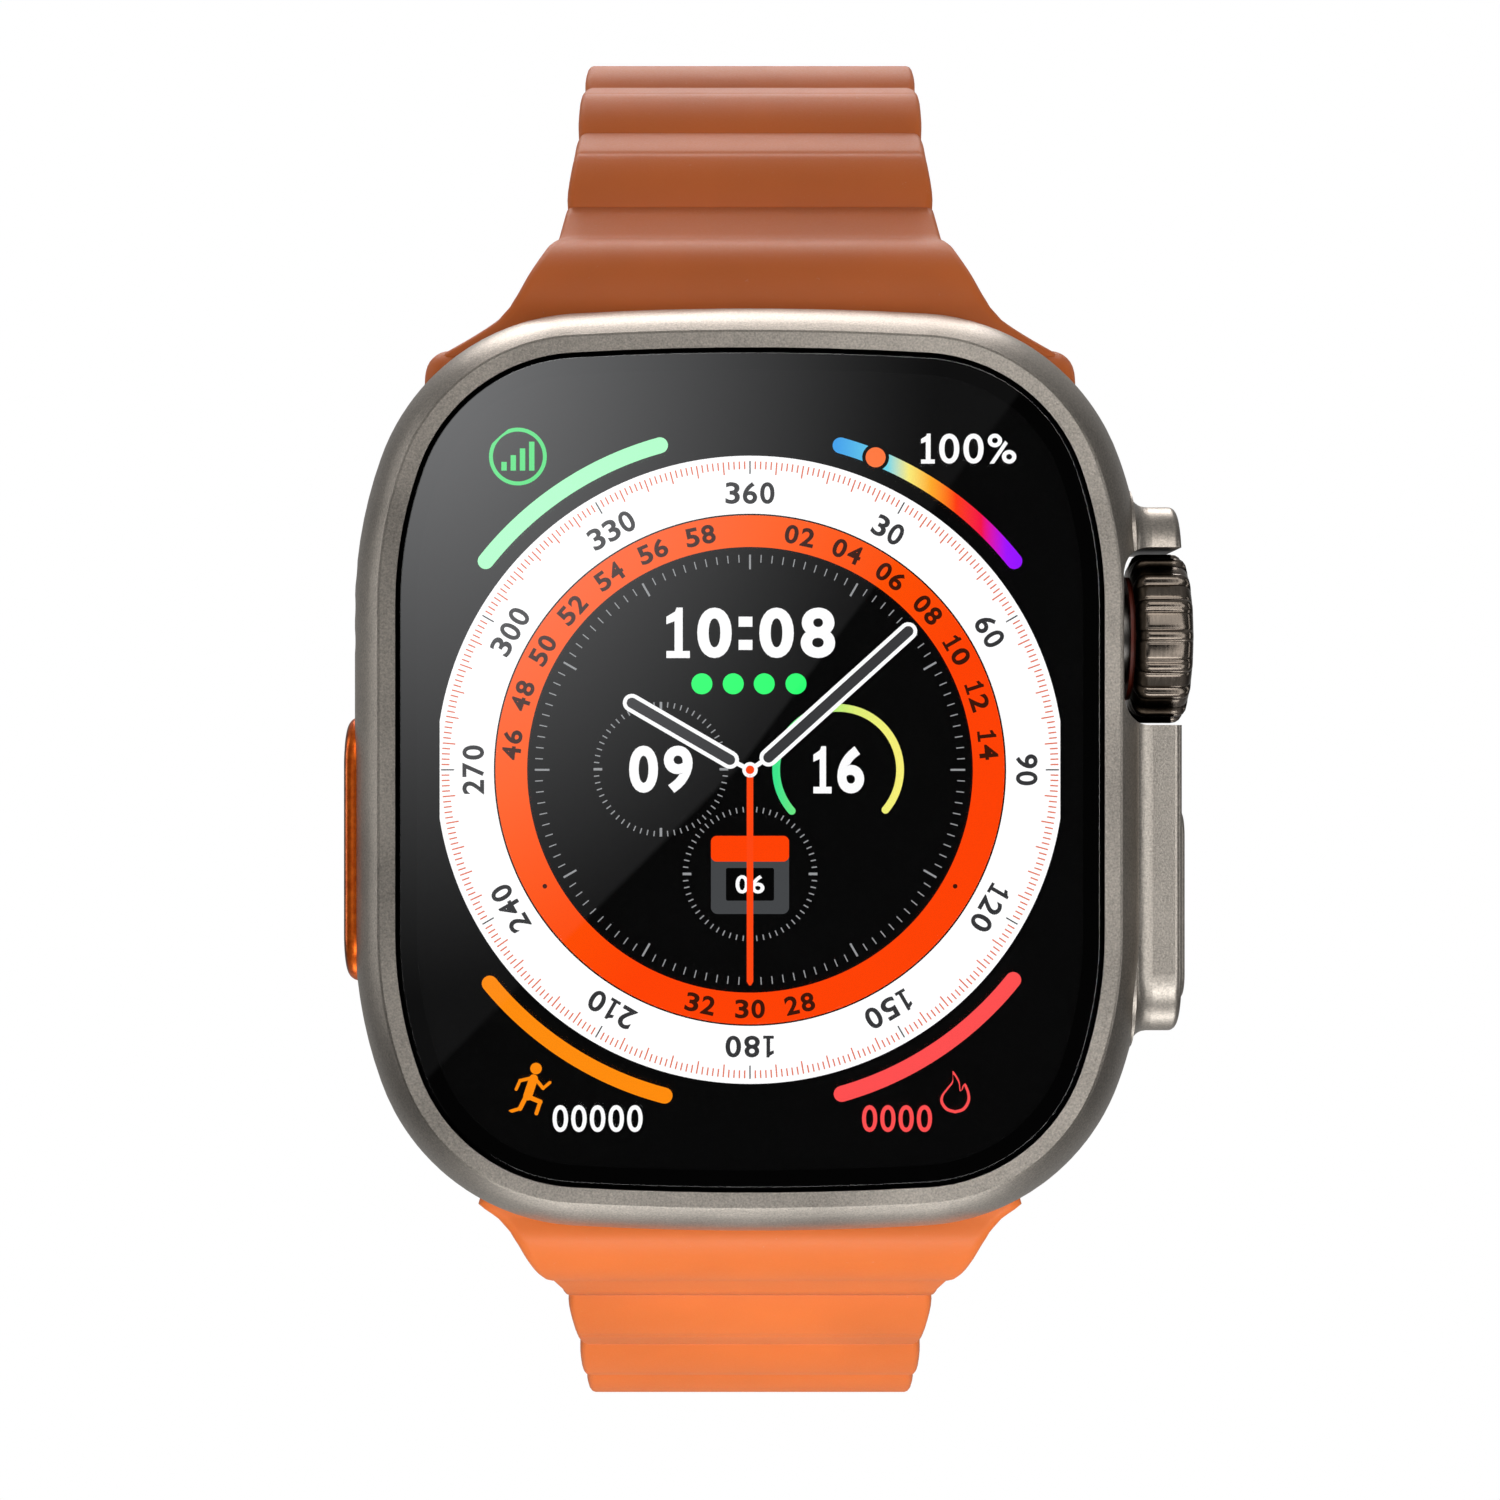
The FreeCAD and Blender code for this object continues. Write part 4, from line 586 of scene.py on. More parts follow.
def strap_tail(path):
    """The free end: the last half segment, rounded off at its tip."""
    start, end = (path.count - 0.5) * path.segment + path.shift, path.length - 0.05
    places = stations(path, start, end - TIP)
    places += [end - TIP * (1 - math.sin(k / 8 * PI / 2)) for k in range(1, 9)]
    rings = [strap_ring(path, s, tail_end=end) for s in places]
    piece = loft(f"{path.side}_strap_tail", rings, mats["silicone"])
    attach(piece, f"{path.side}_link_{path.count}")


LUG_LOW, LUG_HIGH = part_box("upper_lug_core")
LUG_Y, LUG_Z = (LUG_LOW.y + LUG_HIGH.y) / 2 / MM, (LUG_LOW.z + LUG_HIGH.z) / 2 / MM
BEAD_HALF = {"upper": 17.4, "lower": 15.6}
TUCK, TUCK_END = {"upper": 0.0, "lower": 0.6}, 23.3
FLARE = [
    (21.07, 17.4), (21.9, 16.85), (22.36, 16.2), (22.8, 15.4), (23.4, 14.4), (24.0, 13.5), (24.7, 12.85),
    (25.4, 12.45), (26.3, 12.0), (27.6, 11.3), (29.1, 10.62), (31.4, 10.34),
]


def flare(z, tucked=0.0):
    """Half the root's width at a height above the watch's middle, tucked in behind the case if asked."""
    if tucked and z < TUCK_END:
        return min(flare(z), flare(TUCK_END) - tucked * (1 - (z - FLARE[0][0]) / (TUCK_END - FLARE[0][0])))
    if z <= FLARE[0][0]:
        return FLARE[0][1]
    for (z0, w0), (z1, w1) in zip(FLARE, FLARE[1:]):
        if z <= z1:
            return mix(w0, w1, (z - z0) / (z1 - z0))
    return FLARE[-1][1]


def spline(points, t):
    """Catmull-Rom curve through points, t from 0 to 1."""
    spans = len(points) - 1
    i = min(spans - 1, int(t * spans))
    f = t * spans - i
    p = [points[max(0, min(spans, i + k))] for k in (-1, 0, 1, 2)]
    return tuple(
        0.5 * (2 * b + (c - a) * f + (2 * a - 5 * b + 4 * c - d) * f**2 + (3 * b - a - 3 * c + d) * f**3)
        for a, b, c, d in zip(*p)
    )


def strap_root(path):
    """The moulded end that leaves the case, flares in to strap width and rises to the first crest."""
    crest = path.shift - CREST_SLOPE
    top = path.at(crest, CREST)
    climb = [
        (LUG_Y - 1.4, LUG_Z + 1.6), (LUG_Y - 1.4, LUG_Z + 3.4), (LUG_Y - 1.45, LUG_Z + 4.9),
        (mix(LUG_Y - 1.3, top[0], 0.16), mix(LUG_Z + 5.2, top[1], 0.42)),
        (mix(LUG_Y - 1.3, top[0], 0.50), mix(LUG_Z + 5.2, top[1], 0.80)), top,
    ]
    inside = [
        (LUG_Y + 1.4, LUG_Z + 1.6), (LUG_Y + 1.4, LUG_Z + 3.4), (LUG_Y + 1.75, LUG_Z + 4.9),
        path.at(-5.4, -0.9), path.at(-4.2, -0.75), path.at(crest, -SKIN - 0.05),
    ]
    rings = []
    steps = 34

    def ring(outer, inner, edge):
        half = flare(mix(inner[1], outer[1], 0.875), TUCK[path.side])
        dy, dz = outer[0] - inner[0], outer[1] - inner[1]
        thick = math.hypot(dy, dz)
        return [
            (x, inner[0] + dy * v / thick, path.sign * (inner[1] + dz * v / thick))
            for x, v in section(half, 0.0, thick, edge)
        ]

    for k in range(steps):
        t = k / (steps - 1)
        rings.append(ring(spline(climb, t), spline(inside, t), mix(0.9, EDGE, t)))
    for share in (0.15, 0.3, 0.5, 0.75, 1.0):
        s = mix(crest, path.shift, share)
        rings.append(ring(path.at(s, link_height(path, s)), path.at(s, -SKIN), EDGE))
    piece = loft(f"{path.side}_strap_flare", rings, mats["silicone"])
    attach(piece, f"{path.side}_root")
    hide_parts(f"{path.side}_strap_root")
    strap_bead(path)


def strap_bead(path):
    """The round bead that fills the case's channel: domed ends, and a flat behind for the release button."""
    half, radius, around = BEAD_HALF[path.side], 2.18, 40
    dome, end_drop, flat_half, flat_y = 1.3, 1.25, 3.0, 8.16
    rings = []
    bar = [x * 0.5 for x in range(-30, 31)]
    caps = [half - dome + dome * math.sin(k / 8 * PI / 2) for k in range(9)]
    for x in sorted({round(v, 4) for v in bar + caps + [-c for c in caps]}):
        over = max(0.0, (abs(x) - half + dome) / dome)
        r = radius - end_drop * (1 - math.sqrt(max(0.0, 1 - over**2)))
        rearmost = flat_y if abs(x) <= flat_half else LUG_Y + radius
        rings.append([
            (x, min(rearmost, LUG_Y + r * math.cos(a)), path.sign * (LUG_Z + r * math.sin(a)))
            for a in (2 * PI * j / around for j in range(around))
        ])
    piece = loft(f"{path.side}_strap_bead", rings, mats["silicone"])
    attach(piece, f"{path.side}_root")


def build_strap():
    """Both halves. Each has its own heading, and the upper's ridges sit a little further out."""
    for side, heading, shift in (("upper", math.radians(49), 0.8), ("lower", math.radians(35), 0.0)):
        path = StrapPath(side, heading, shift)
        strap_root(path)
        for index in range(path.count):
            strap_piece(path, index)
        strap_tail(path)


# ---------------------------------------------------------------- crown

def build_crown():
    """Crown with sixteen rounded ribs, bevelled at both ends, with a dished outer face."""
    lo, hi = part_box("crown_knob")
    y0, z0 = (lo.y + hi.y) / 2 / MM, (lo.z + hi.z) / 2 / MM
    inner, outer = lo.x / MM, hi.x / MM
    big = (hi.z - lo.z) / 2 / MM
    ribs, around = 16, 16 * 20
    width = outer - inner
    profile = [
        (0.20, 0.54, 0), (0.20, 0.57, 0), (0.00, 0.585, 0), (0.00, 0.73, 0), (0.015, 0.80, 0.1),
        (0.05, 0.86, 0.5), (0.10, 0.905, 0.9), (0.17, 0.935, 1), (0.26, 0.945, 1), (0.5, 0.945, 1),
        (0.74, 0.945, 1), (0.83, 0.935, 1), (0.89, 0.91, 1),
        (0.935, 0.87, 0.9), (0.965, 0.82, 0.5), (0.98, 0.77, 0.1), (0.985, 0.73, 0), (0.975, 0.68, 0),
        (0.965, 0.62, 0), (0.975, 0.4, 0), (0.985, 0.2, 0), (0.99, 0.02, 0),
    ]
    rib_half, rib_rise, groove_deep = 0.34, big * 0.055, 0.07

    def over_land(angle):
        """Height over the land at an angle: each rib is a round bar between two fine grooves."""
        step = 2 * PI / ribs
        gap = abs((angle + step / 2) % step - step / 2) * big
        if gap < rib_half:
            return rib_rise * (1 - (gap / rib_half) ** 2) ** 0.5
        return -groove_deep * math.exp(-(((gap - rib_half) / 0.09) ** 2))

    rings = []
    for share, size, ribbed in profile:
        ring = []
        for j in range(around):
            a = 2 * PI * j / around
            r = big * size + ribbed * over_land(a)
            ring.append((inner + width * share, y0 + r * math.cos(a), z0 + r * math.sin(a)))
        rings.append(ring)
    piece = loft("crown_ribbed_knob", rings, mats["crown_titanium"])
    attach(piece, "crown")
    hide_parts("crown_knob")


# ---------------------------------------------------------------- dial

PANEL_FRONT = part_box("display_panel")[0].y / MM
DIAL_DEPTH, LAYER = PANEL_FRONT - 0.008, 0.0065
FILM = 0.004
FIGURE_WIDTHS = {"1": 0.74, ":": 0.40, "%": 1.42}
FIGURE_GAP = 0.2
ONE = ((0.06, 0), (0.98, 0), (0.98, 0.14), (0.70, 0.14), (0.70, 1), (0.46, 1), (0.40, 0.92), (0.06, 0.82),
       (0.06, 0.67), (0.38, 0.73), (0.38, 0.14), (0.06, 0.14))
GLYPHS = {}


def glyph(figure, weight):
    """Points in a unit box, and faces, of one figure. The 1 has a foot, and the colon is two square dots."""
    if figure == "1":
        return ONE, [tuple(range(len(ONE)))]
    if figure == ":":
        square = ((0, 0), (1, 0), (1, 0.2), (0, 0.2))
        return [(u, low + v) for low in (0.16, 0.62) for u, v in square], [(0, 1, 2, 3), (4, 5, 6, 7)]
    if (figure, weight) not in GLYPHS:
        curve = bpy.data.curves.new("figure", "FONT")
        curve.body = figure
        curve.offset = weight
        curve.resolution_u = 6
        holder = bpy.data.objects.new("figure", curve)
        mesh = holder.to_mesh()
        xs, zs = [v.co.x for v in mesh.vertices], [v.co.y for v in mesh.vertices]
        wide, tall = max(xs) - min(xs), max(zs) - min(zs)
        points = [((v.co.x - min(xs)) / wide, (v.co.y - min(zs)) / tall) for v in mesh.vertices]
        GLYPHS[figure, weight] = points, [tuple(p.vertices) for p in mesh.polygons]
        holder.to_mesh_clear()
        bpy.data.objects.remove(holder)
        bpy.data.curves.remove(curve)
    return GLYPHS[figure, weight]


class DialLayer:
    """Flat lit shapes of one colour, just under the glass. x is to the right and z up, in millimetres."""

    def __init__(self, name, layer, colour, strength=LIT):
        self.name, self.depth = name, DIAL_DEPTH - LAYER * layer
        ready = isinstance(colour, bpy.types.Material)
        self.material = colour if ready else glow(name + "_glow", colour, strength)
        self.vertices, self.faces = [], []

    def polygon(self, points):
        base = len(self.vertices)
        self.vertices += [(x, self.depth, z) for x, z in points]
        self.faces.append(tuple(range(base, base + len(points))))

    def strip(self, left, right, closed=False):
        """A band between two runs of points."""
        base, count = len(self.vertices), len(left)
        self.vertices += [(x, self.depth, z) for pair in zip(left, right) for x, z in pair]
        for i in range(count if closed else count - 1):
            a, b = base + 2 * i, base + 2 * ((i + 1) % count)
            self.faces.append((a, a + 1, b + 1, b))

    def ring(self, cx, cz, inner, outer, steps=240):
        turns = [2 * PI * i / steps for i in range(steps)]
        self.strip(circle_points(cx, cz, inner, turns), circle_points(cx, cz, outer, turns), closed=True)

    def disc(self, cx, cz, radius, steps=40):
        self.polygon(circle_points(cx, cz, radius, [2 * PI * i / steps for i in range(steps)]))

    def arc(self, cx, cz, radius, width, start, end, steps=60):
        """A band along a circle with round ends; angles in degrees, anticlockwise from +x."""
        turns = [math.radians(mix(start, end, i / steps)) for i in range(steps + 1)]
        half = width / 2
        outer = circle_points(cx, cz, radius + half, turns)
        inner = circle_points(cx, cz, radius - half, turns)
        caps = []
        for angle, way in ((turns[-1], 1), (turns[0], -1)):
            tip = circle_points(cx, cz, radius, [angle])[0]
            caps.append(circle_points(*tip, half, [angle + way * PI * i / 12 for i in range(1, 12)]))
        self.strip(inner, outer)
        for cap, ends in ((caps[0], (outer[-1], inner[-1])), (caps[1], (outer[0], inner[0]))):
            self.polygon([ends[0]] + cap + [ends[1]])

    def bar(self, x0, z0, x1, z1, width, steps=10):
        """A straight bar with round ends."""
        angle = math.atan2(z1 - z0, x1 - x0)
        half, points = width / 2, []
        for (x, z), base in (((x1, z1), angle - PI / 2), ((x0, z0), angle + PI / 2)):
            for i in range(steps + 1):
                a = base + PI * i / steps
                points.append((x + half * math.cos(a), z + half * math.sin(a)))
        self.polygon(points)

    def tick(self, cx, cz, angle, inner, outer, width):
        """A short line that points at a centre; angle in degrees clockwise from the top."""
        a = math.radians(90 - angle)
        cosine, sine = math.cos(a), math.sin(a)
        half = width / 2
        self.polygon([
            (cx + r * cosine + w * sine, cz + r * sine - w * cosine)
            for r, w in ((inner, -half), (outer, -half), (outer, half), (inner, half))
        ])

    def text(self, words, x, z, height, width, turn=0.0, weight=0.02):
        """Figures in a row centred at x, z, of a given height and width, turned clockwise in degrees."""
        shares = [FIGURE_WIDTHS.get(figure, 1.0) for figure in words]
        unit = width / (sum(shares) + FIGURE_GAP * (len(words) - 1))
        a, left = -math.radians(turn), -width / 2
        for figure, share in zip(words, shares):
            points, faces = glyph(figure, weight)
            base = len(self.vertices)
            for u, v in points:
                px, pz = left + u * share * unit, (v - 0.5) * height
                self.vertices.append((x + px * math.cos(a) - pz * math.sin(a), self.depth,
                                      z + px * math.sin(a) + pz * math.cos(a)))
            self.faces += [tuple(base + i for i in face) for face in faces]
            left += (share + FIGURE_GAP) * unit

    def build(self):
        obj = new_object("dial_" + self.name, self.vertices, self.faces, self.material, smooth=False)
        film = obj.modifiers.new("film", "SOLIDIFY")
        film.thickness = FILM * MM
        film.offset = 0
        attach(obj, "case")


def circle_points(cx, cz, radius, turns):
    return [(cx + radius * math.cos(t), cz + radius * math.sin(t)) for t in turns]


def polar(angle, radius):
    """Point at an angle clockwise from the top."""
    a = math.radians(90 - angle)
    return radius * math.cos(a), radius * math.sin(a)


WHITE, BLACK = (1, 1, 1, 1), (0, 0, 0, 1)
DIAL_ORANGE, HAND_ORANGE = srgb(255, 65, 0), srgb(255, 70, 15)
AMBER, CORAL, TICK_GREY = srgb(255, 140, 10), srgb(255, 80, 80), srgb(150, 152, 154)
RING_OUT, RING_MID, RING_IN = 16.32, 13.27, 11.58


def warm_orange():
    """The orange ring's colour: its own red at the lower right, warmer towards the upper left with painted
    reflection.
    """
    n = Nodes("orange_ring_glow")
    painted_sheen_slant = n.span(n.math("SUBTRACT", n.axis("Z"), n.axis("X")), -0.005, 0.012)
    # Painted reflection: the warmer upper-left colour stands in for the crystal's sheen lying over the ring
    # there.
    tint = n.ramp(painted_sheen_slant, [(0.0, DIAL_ORANGE), (1.0, srgb(255, 93, 2))])
    return n.finish(n.add("Emission", {"Color": tint, "Strength": LIT}).outputs["Emission"])


def rings_and_scale():
    white = DialLayer("white_ring", 0, srgb(254, 254, 254), RING_LIT)
    white.ring(0, 0, RING_MID + 0.04, RING_OUT)
    white.build()
    orange = DialLayer("orange_ring", 0, warm_orange())
    orange.ring(0, 0, RING_IN, RING_MID - 0.04)
    orange.build()
    fine = DialLayer("degree_ticks", 1, srgb(224, 108, 76))
    bold = DialLayer("thirty_degree_ticks", 1, srgb(60, 60, 62))
    for degree in range(360):
        if degree % 30 == 0:
            bold.tick(0, 0, degree, 15.37, 16.05, 0.07)
        else:
            fine.tick(0, 0, degree, 15.37 if degree % 5 == 0 else 15.62, 16.03, 0.07)
    fine.build()
    numbers = DialLayer("bearing_numbers", 1, srgb(52, 52, 54))
    for degree in range(30, 361, 30):
        x, z = polar(degree, 14.38)
        wide = 2.55 if degree >= 100 else 1.62
        numbers.text(str(degree), x, z, 1.13, wide, turn=degree, weight=0.022)
    numbers.build()
    bold.build()

    seconds = DialLayer("second_numbers", 1, srgb(58, 20, 6))
    above = [(step * 12, step * 12, step * 2 % 60) for step in range(-7, 8) if step]
    below = [(180 + step * 12, step * 12, 30 + step * 2) for step in (-1, 0, 1)]
    for angle, turn, second in above + below:
        x, z = polar(angle, (RING_IN + RING_MID) / 2)
        seconds.text(f"{second:02d}", x, z, 0.98, 1.55, turn=turn, weight=0.028)
    for side in (-1, 1):
        seconds.disc(side * 10.66, -6.05, 0.12)
    seconds.build()

    inner = DialLayer("inner_ticks", 0, TICK_GREY)
    for degree in range(0, 360, 3):
        start, width = (10.42, 0.10) if degree % 30 == 0 else (10.78, 0.055)
        inner.tick(0, 0, degree, start, 11.18, width)
    inner.build()


def small_dials():
    left, right, low = (-4.63, 0.03), (4.58, 0.0), (0.0, -5.41)
    ticks = DialLayer("small_dial_ticks", 0, TICK_GREY)
    for cx, cz in (left, low):
        for degree in range(0, 360, 6):
            ticks.tick(cx, cz, degree, 3.22, 3.50, 0.06)
        for degree in range(0, 360, 90):
            ticks.tick(cx, cz, degree, 3.05, 3.50, 0.13)
    ticks.build()

    green, yellow = srgb(60, 230, 140), srgb(250, 240, 120)
    gauge = DialLayer("gauge_arc", 0, across("gauge_glow", right[0] - 3.2, right[0] + 3.2, [
        (0.0, green), (0.35, srgb(150, 235, 120)), (0.65, srgb(225, 240, 120)), (1.0, yellow)]))
    gauge.arc(right[0], right[1], 3.22, 0.40, -40.2, 221.5, steps=120)
    gauge.build()

    figures = DialLayer("time_figures", 1, WHITE)
    figures.text("10:08", 0.0, 7.12, 2.62, 8.85, weight=0.035)
    figures.text("09", left[0], left[1], 2.45, 3.30, weight=0.035)
    figures.text("16", right[0], right[1], 2.45, 2.70, weight=0.035)
    figures.text("100%", 11.34, 16.69, 1.56, 5.0, weight=0.012)
    figures.text("00000", -7.92, -18.12, 1.40, 4.68, weight=0.012)
    figures.build()

    dots = DialLayer("green_dots", 0, srgb(45, 255, 115))
    for x in (-2.50, -0.87, 0.74, 2.39):
        dots.disc(x, 4.47, 0.546)
    dots.build()

    page = DialLayer("calendar_page", 0, srgb(68, 70, 72))
    page.polygon(rounded_box(0, -5.46, 2.03, 2.03, 0.35))
    page.build()
    head = DialLayer("calendar_head", 1, DIAL_ORANGE)
    head.polygon(rounded_box(0, -4.10, 2.03, 0.67, 0.3))
    head.build()
    hole = DialLayer("calendar_window", 1, BLACK, 0.0)
    hole.polygon(rounded_box(0, -5.95, 1.25, 0.85, 0.1))
    hole.build()
    day = DialLayer("calendar_figures", 2, WHITE)
    day.text("06", 0, -5.95, 0.95, 1.5, weight=0.02)
    day.build()


def rounded_box(cx, cz, half_x, half_z, radius, steps=8):
    points = []
    for sx, sz, start in ((1, 1, 0), (-1, 1, 90), (-1, -1, 180), (1, -1, 270)):
        for i in range(steps + 1):
            a = math.radians(start + 90 * i / steps)
            points.append((cx + sx * (half_x - radius) + radius * math.cos(a),
                           cz + sz * (half_z - radius) + radius * math.sin(a)))
    return points


def across(name, low, high, stops):
    """A lit colour that changes from left to right between two places in millimetres."""
    n = Nodes(name)
    tint = n.ramp(n.span(n.axis("X"), low * MM, high * MM), stops)
    return n.finish(n.add("Emission", {"Color": tint, "Strength": LIT}).outputs["Emission"])


def corner_arcs():
    radius, width = 17.50, 0.83
    rainbow = across("rainbow_glow", 4.5, 13.9, [
        (0.0, srgb(60, 160, 235)), (0.28, srgb(110, 215, 235)), (0.40, srgb(250, 235, 120)),
        (0.52, srgb(255, 170, 40)), (0.66, srgb(255, 60, 20)), (0.80, srgb(245, 20, 70)),
        (0.94, srgb(160, 20, 255)), (1.0, srgb(150, 20, 255)),
    ])
    for name, colour, start, end in (
        ("green_arc", srgb(170, 255, 195), 105.5, 141.7), ("rainbow_arc", rainbow, 38.3, 74.4),
        ("amber_arc", AMBER, 219.4, 255.3), ("coral_arc", CORAL, 285.8, 321.4),
    ):
        band = DialLayer(name, 0, colour)
        band.arc(0, 0, radius, width, start, end)
        band.build()
    x, z = polar(90 - 68.1, radius)
    rim = DialLayer("marker_rim", 1, BLACK, 0.0)
    rim.disc(x, z, 0.70)
    rim.build()
    marker = DialLayer("marker_dot", 2, srgb(255, 120, 60))
    marker.disc(x, z, 0.52)
    marker.build()


def icons():
    signal = DialLayer("signal_icon", 0, srgb(72, 220, 120))
    cx, cz, half = -12.06, 16.28, 0.14
    signal.ring(cx, cz, 1.30, 1.50, steps=64)
    for i, tall in enumerate((0.45, 0.80, 1.15, 1.50)):
        x, foot = cx - 0.72 + 0.48 * i, cz - 0.73
        signal.polygon([(x - half, foot), (x + half, foot), (x + half, foot + tall), (x - half, foot + tall)])
    signal.build()

    runner = DialLayer("runner_icon", 0, AMBER)
    runner.disc(-11.12, -15.52, 0.30)
    for x0, z0, x1, z1, w in (
        (-11.25, -16.05, -11.55, -16.95, 0.46), (-11.15, -16.05, -10.75, -16.55, 0.18),
        (-10.75, -16.55, -10.40, -16.25, 0.16), (-11.30, -16.00, -11.95, -16.15, 0.18),
        (-11.95, -16.15, -12.15, -16.60, 0.16), (-11.50, -17.00, -10.90, -17.25, 0.24),
        (-10.90, -17.25, -11.10, -17.85, 0.20), (-11.65, -17.00, -11.95, -17.60, 0.24),
        (-11.95, -17.60, -12.45, -17.75, 0.18),
    ):
        runner.bar(x0, z0, x1, z1, w)
    runner.build()

    flame = DialLayer("flame_icon", 0, CORAL)
    cx, cz, core_z = 10.66, -16.75, -16.85
    shape = [
        (0, -1), (0.5, -0.86), (0.8, -0.45), (0.78, 0), (0.55, 0.42), (0.42, 0.15), (0.30, 0.1), (0.22, 0.55),
        (-0.12, 1), (-0.15, 0.55), (-0.45, 0.2), (-0.75, -0.15), (-0.8, -0.5), (-0.5, -0.86), (0, -1),
    ]
    outline = [(cx + 0.95 * x, cz + 1.1 * z) for x, z in (spline(shape, i / 90) for i in range(90))]
    inner = [(mix(cx, x, 0.82), mix(core_z, z, 0.84)) for x, z in outline]
    flame.strip(inner, outline, closed=True)
    flame.text("0000", 7.64, -18.12, 1.40, 3.64, weight=0.012)
    flame.build()


def hands():
    width = 0.94
    for name, layer, start, end in (
        ("hour_hand", 2, (-1.04, 0.52), (-6.14, 3.48)), ("minute_hand", 3, (0.96, 0.64), (8.22, 7.20)),
    ):
        edge = DialLayer(name, layer, WHITE)
        edge.bar(0, 0, *start, 0.24)
        edge.bar(*start, *end, width)
        edge.build()
        fill = DialLayer(name + "_fill", layer + 1, srgb(58, 58, 60))
        fill.bar(*start, *end, width - 0.40)
        fill.build()
    second = DialLayer("second_hand", 5, HAND_ORANGE)
    second.polygon([(-0.17, 0.0), (-0.17, -11.0), (-0.05, -11.2), (0.05, -11.2), (0.17, -11.0), (0.17, 0.0)])
    second.build()
    hub = DialLayer("hub_ring", 5, WHITE)
    hub.ring(0, 0, 0.20, 0.40, steps=40)
    hub.build()
    pin = DialLayer("hub_pin", 6, HAND_ORANGE)
    pin.disc(0, 0, 0.22)
    pin.build()


def black_print():
    """The black print under the glass, which hides the edge of the display panel."""
    panel = frame["nodes"]["display_panel"].data
    corners = [(v.co.x / MM, v.co.z / MM) for v in panel.vertices if v.co.y < (PANEL_FRONT + 0.01) * MM]
    rim = sorted({(round(x, 4), round(z, 4)) for x, z in corners}, key=lambda p: math.atan2(p[1], p[0]))
    band = DialLayer("black_print", 0, mats["display_black"])
    band.depth = PANEL_FRONT - 0.03
    band.strip([(x * 0.94, z * 0.94) for x, z in rim], [(x * 1.02, z * 1.016) for x, z in rim], closed=True)
    band.build()


def build_dial():
    black_print()
    rings_and_scale()
    small_dials()
    corner_arcs()
    icons()
    hands()


# ---------------------------------------------------------------- stage

ROOM_LIGHT = 0.28             # how bright the room is behind the watch
SIDE_SHADE = 0.15             # how much of the room's light is left at the far left and right
FLOOR_Z = -0.16               # below the strap when it hangs open


def card(name, centre, facing, width, height, strength, colour=(1, 1, 1), only=None):
    """A soft studio light. It can light the strap alone, or everything but the strap."""
    data = bpy.data.lights.new(name, "AREA")
    data.shape = "RECTANGLE"
    data.size, data.size_y = width, height
    data.energy = strength
    data.color = colour
    obj = bpy.data.objects.new(name, data)
    obj.location = centre
    obj.rotation_mode = "QUATERNION"
    obj.rotation_quaternion = (Vector(facing) - Vector(centre)).to_track_quat("-Z", "Y")
    obj.visible_camera = False
    bpy.context.scene.collection.objects.link(obj)
    if only:
        chosen = bpy.data.collections.new(name + "_lights")
        for piece in bpy.data.objects:
            if piece.type == "MESH" and ("_strap_" in piece.name) == (only == "strap"):
                chosen.objects.link(piece)
        obj.light_linking.receiver_collection = chosen


def white_when_seen(name, lit, shown):
    """White to the camera, and a calmer grey to the watch's reflections."""
    n = Nodes(name)
    seen = n.add("LightPath").outputs["Is Camera Ray"]
    soft = n.add("BsdfDiffuse", {"Color": (lit, lit, lit, 1.0)}).outputs["BSDF"]
    bright = n.add("Emission", {"Color": (1, 1, 1, 1), "Strength": shown}).outputs["Emission"]
    mixed = n.add("MixShader", {"Fac": seen})
    n.tree.links.new(soft, mixed.inputs[1])
    n.tree.links.new(bright, mixed.inputs[2])
    return n.finish(mixed.outputs["Shader"])


def build_world():
    """White behind the watch; for light and reflections, a soft grey room that is dark behind the camera."""
    world = bpy.data.worlds.new("studio")
    bpy.context.scene.world = world
    world.use_nodes = True
    tree = world.node_tree
    tree.nodes.clear()

    def node(kind):
        return tree.nodes.new("ShaderNode" + kind)

    out, shell, path, place = node("OutputWorld"), node("Background"), node("LightPath"), node("TexCoord")
    parts, room, level = node("SeparateXYZ"), node("MapRange"), node("Mix")
    room.interpolation_type = "SMOOTHSTEP"
    for key, number in (("From Min", -0.93), ("From Max", -0.45), ("To Min", 0.015), ("To Max", ROOM_LIGHT)):
        room.inputs[key].default_value = number
    level.inputs[3].default_value = 1.0
    shell.inputs["Color"].default_value = (1, 1, 1, 1)
    tree.links.new(place.outputs["Generated"], parts.inputs["Vector"])
    tree.links.new(parts.outputs["Y"], room.inputs["Value"])
    tree.links.new(path.outputs["Is Camera Ray"], level.inputs[0])
    away, sides, dimmed = node("Math"), node("MapRange"), node("Math")
    away.operation, dimmed.operation = "ABSOLUTE", "MULTIPLY"
    for key, number in (("From Min", 0.5), ("From Max", 0.9), ("To Min", 1.0), ("To Max", SIDE_SHADE)):
        sides.inputs[key].default_value = number
    tree.links.new(parts.outputs["X"], away.inputs[0])
    tree.links.new(away.outputs[0], sides.inputs["Value"])
    tree.links.new(sides.outputs["Result"], dimmed.inputs[0])
    tree.links.new(room.outputs["Result"], dimmed.inputs[1])
    tree.links.new(dimmed.outputs[0], level.inputs[2])
    tree.links.new(level.outputs[0], shell.inputs["Strength"])
    tree.links.new(shell.outputs["Background"], out.inputs["Surface"])


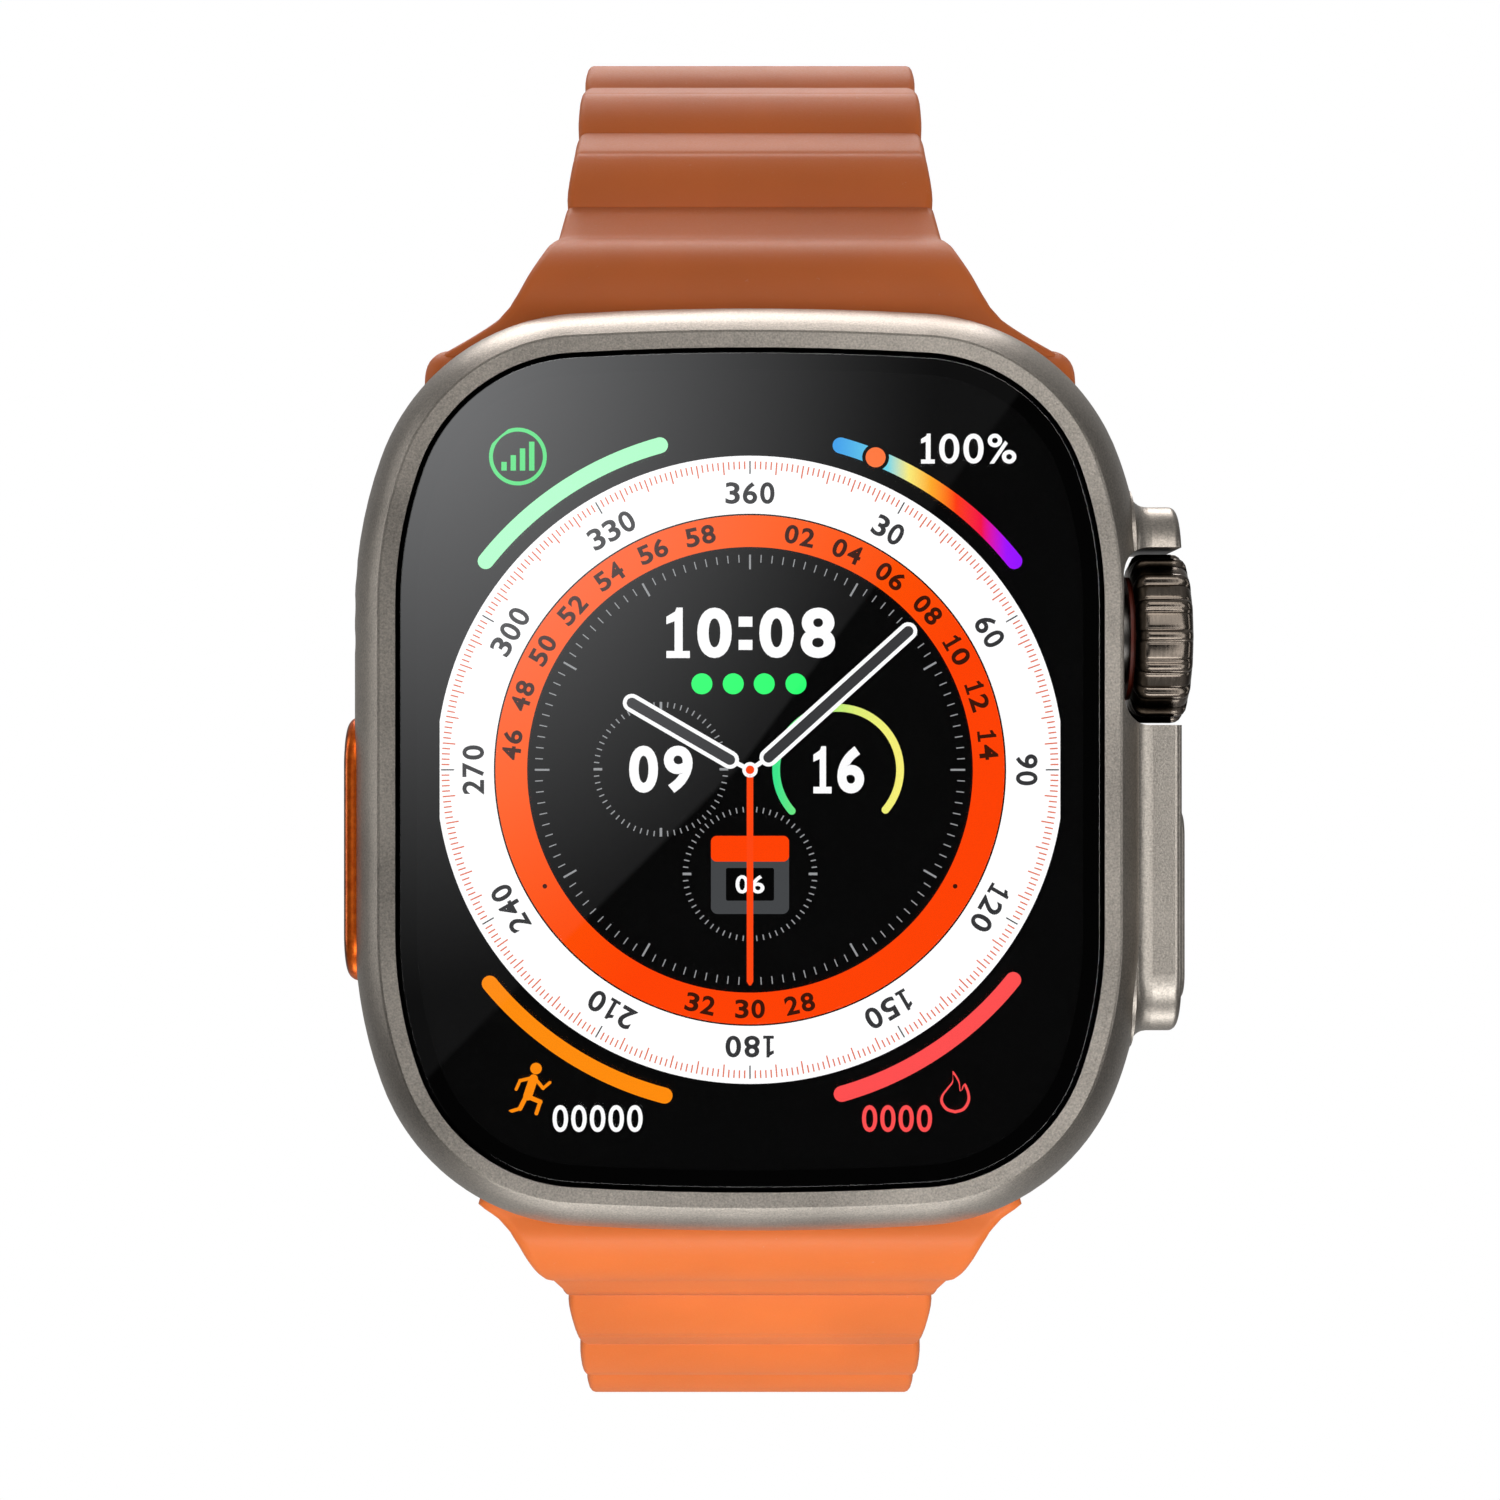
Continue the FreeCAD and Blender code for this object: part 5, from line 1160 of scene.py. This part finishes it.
def build_stage():
    bpy.ops.mesh.primitive_plane_add(size=6, location=(0, 0, FLOOR_Z))
    floor = bpy.context.object
    floor.name = "floor"
    floor.data.materials.append(white_when_seen("pale_floor", 0.75, 1.0))
    floor.visible_glossy = False
    floor.visible_transmission = False
    floor.visible_shadow = False

    build_world()
    card("light_above", (-0.02, 0.26, 0.30), (0, 0.02, 0.03), 0.30, 0.16, 0.6, colour=(1.0, 0.95, 0.93))
    card("light_below", (0.02, -0.25, -0.26), (0, 0.01, -0.03), 0.34, 0.16, 1.25, (1.0, 0.97, 0.93), "strap")
    card("light_under", (0, 0.03, -0.30), (0, 0.005, -0.02), 0.30, 0.10, 0.3, only="case")
    card("light_front_below", (0, -0.30, -0.26), (0, 0.005, -0.02), 0.30, 0.12, 0.45, only="case")
    card("light_front_top", (0, -0.30, 0.30), (0, 0.01, 0.02), 0.30, 0.14, 0.32, colour=(1.0, 0.97, 0.94))
    card("light_left", (-0.32, 0.05, 0.06), (0, 0, 0), 0.08, 0.30, 0.16)
    card("light_right", (0.32, -0.02, 0.02), (0, 0, 0), 0.05, 0.30, 0.08)
    card("light_front_right", (0.16, -0.30, -0.01), (0.02, 0, 0), 0.12, 0.26, 0.18)
    card("light_front_high", (0.05, -0.30, 0.15), (0, 0, 0), 0.26, 0.10, 0.13, only="case")
    card("light_front_low", (0.05, -0.30, -0.15), (0, 0, 0), 0.26, 0.10, 0.09, only="case")
    card("light_front_left", (-0.17, -0.30, 0.02), (-0.02, 0, 0), 0.10, 0.24, 0.04)

    scene = bpy.context.scene
    scene.view_settings.view_transform = "Standard"
    lens = bpy.data.cameras.new("camera")
    lens.lens, lens.sensor_width = 69.67, 36.0
    lens.clip_start, lens.clip_end = 0.01, 10
    camera = bpy.data.objects.new("camera", lens)
    camera.location = (0, -VIEWER, 0.00103)
    camera.rotation_euler = (PI / 2, 0, 0)
    scene.collection.objects.link(camera)
    scene.camera = camera


dress_frame()
build_strap()
build_crown()
build_dial()
build_stage()
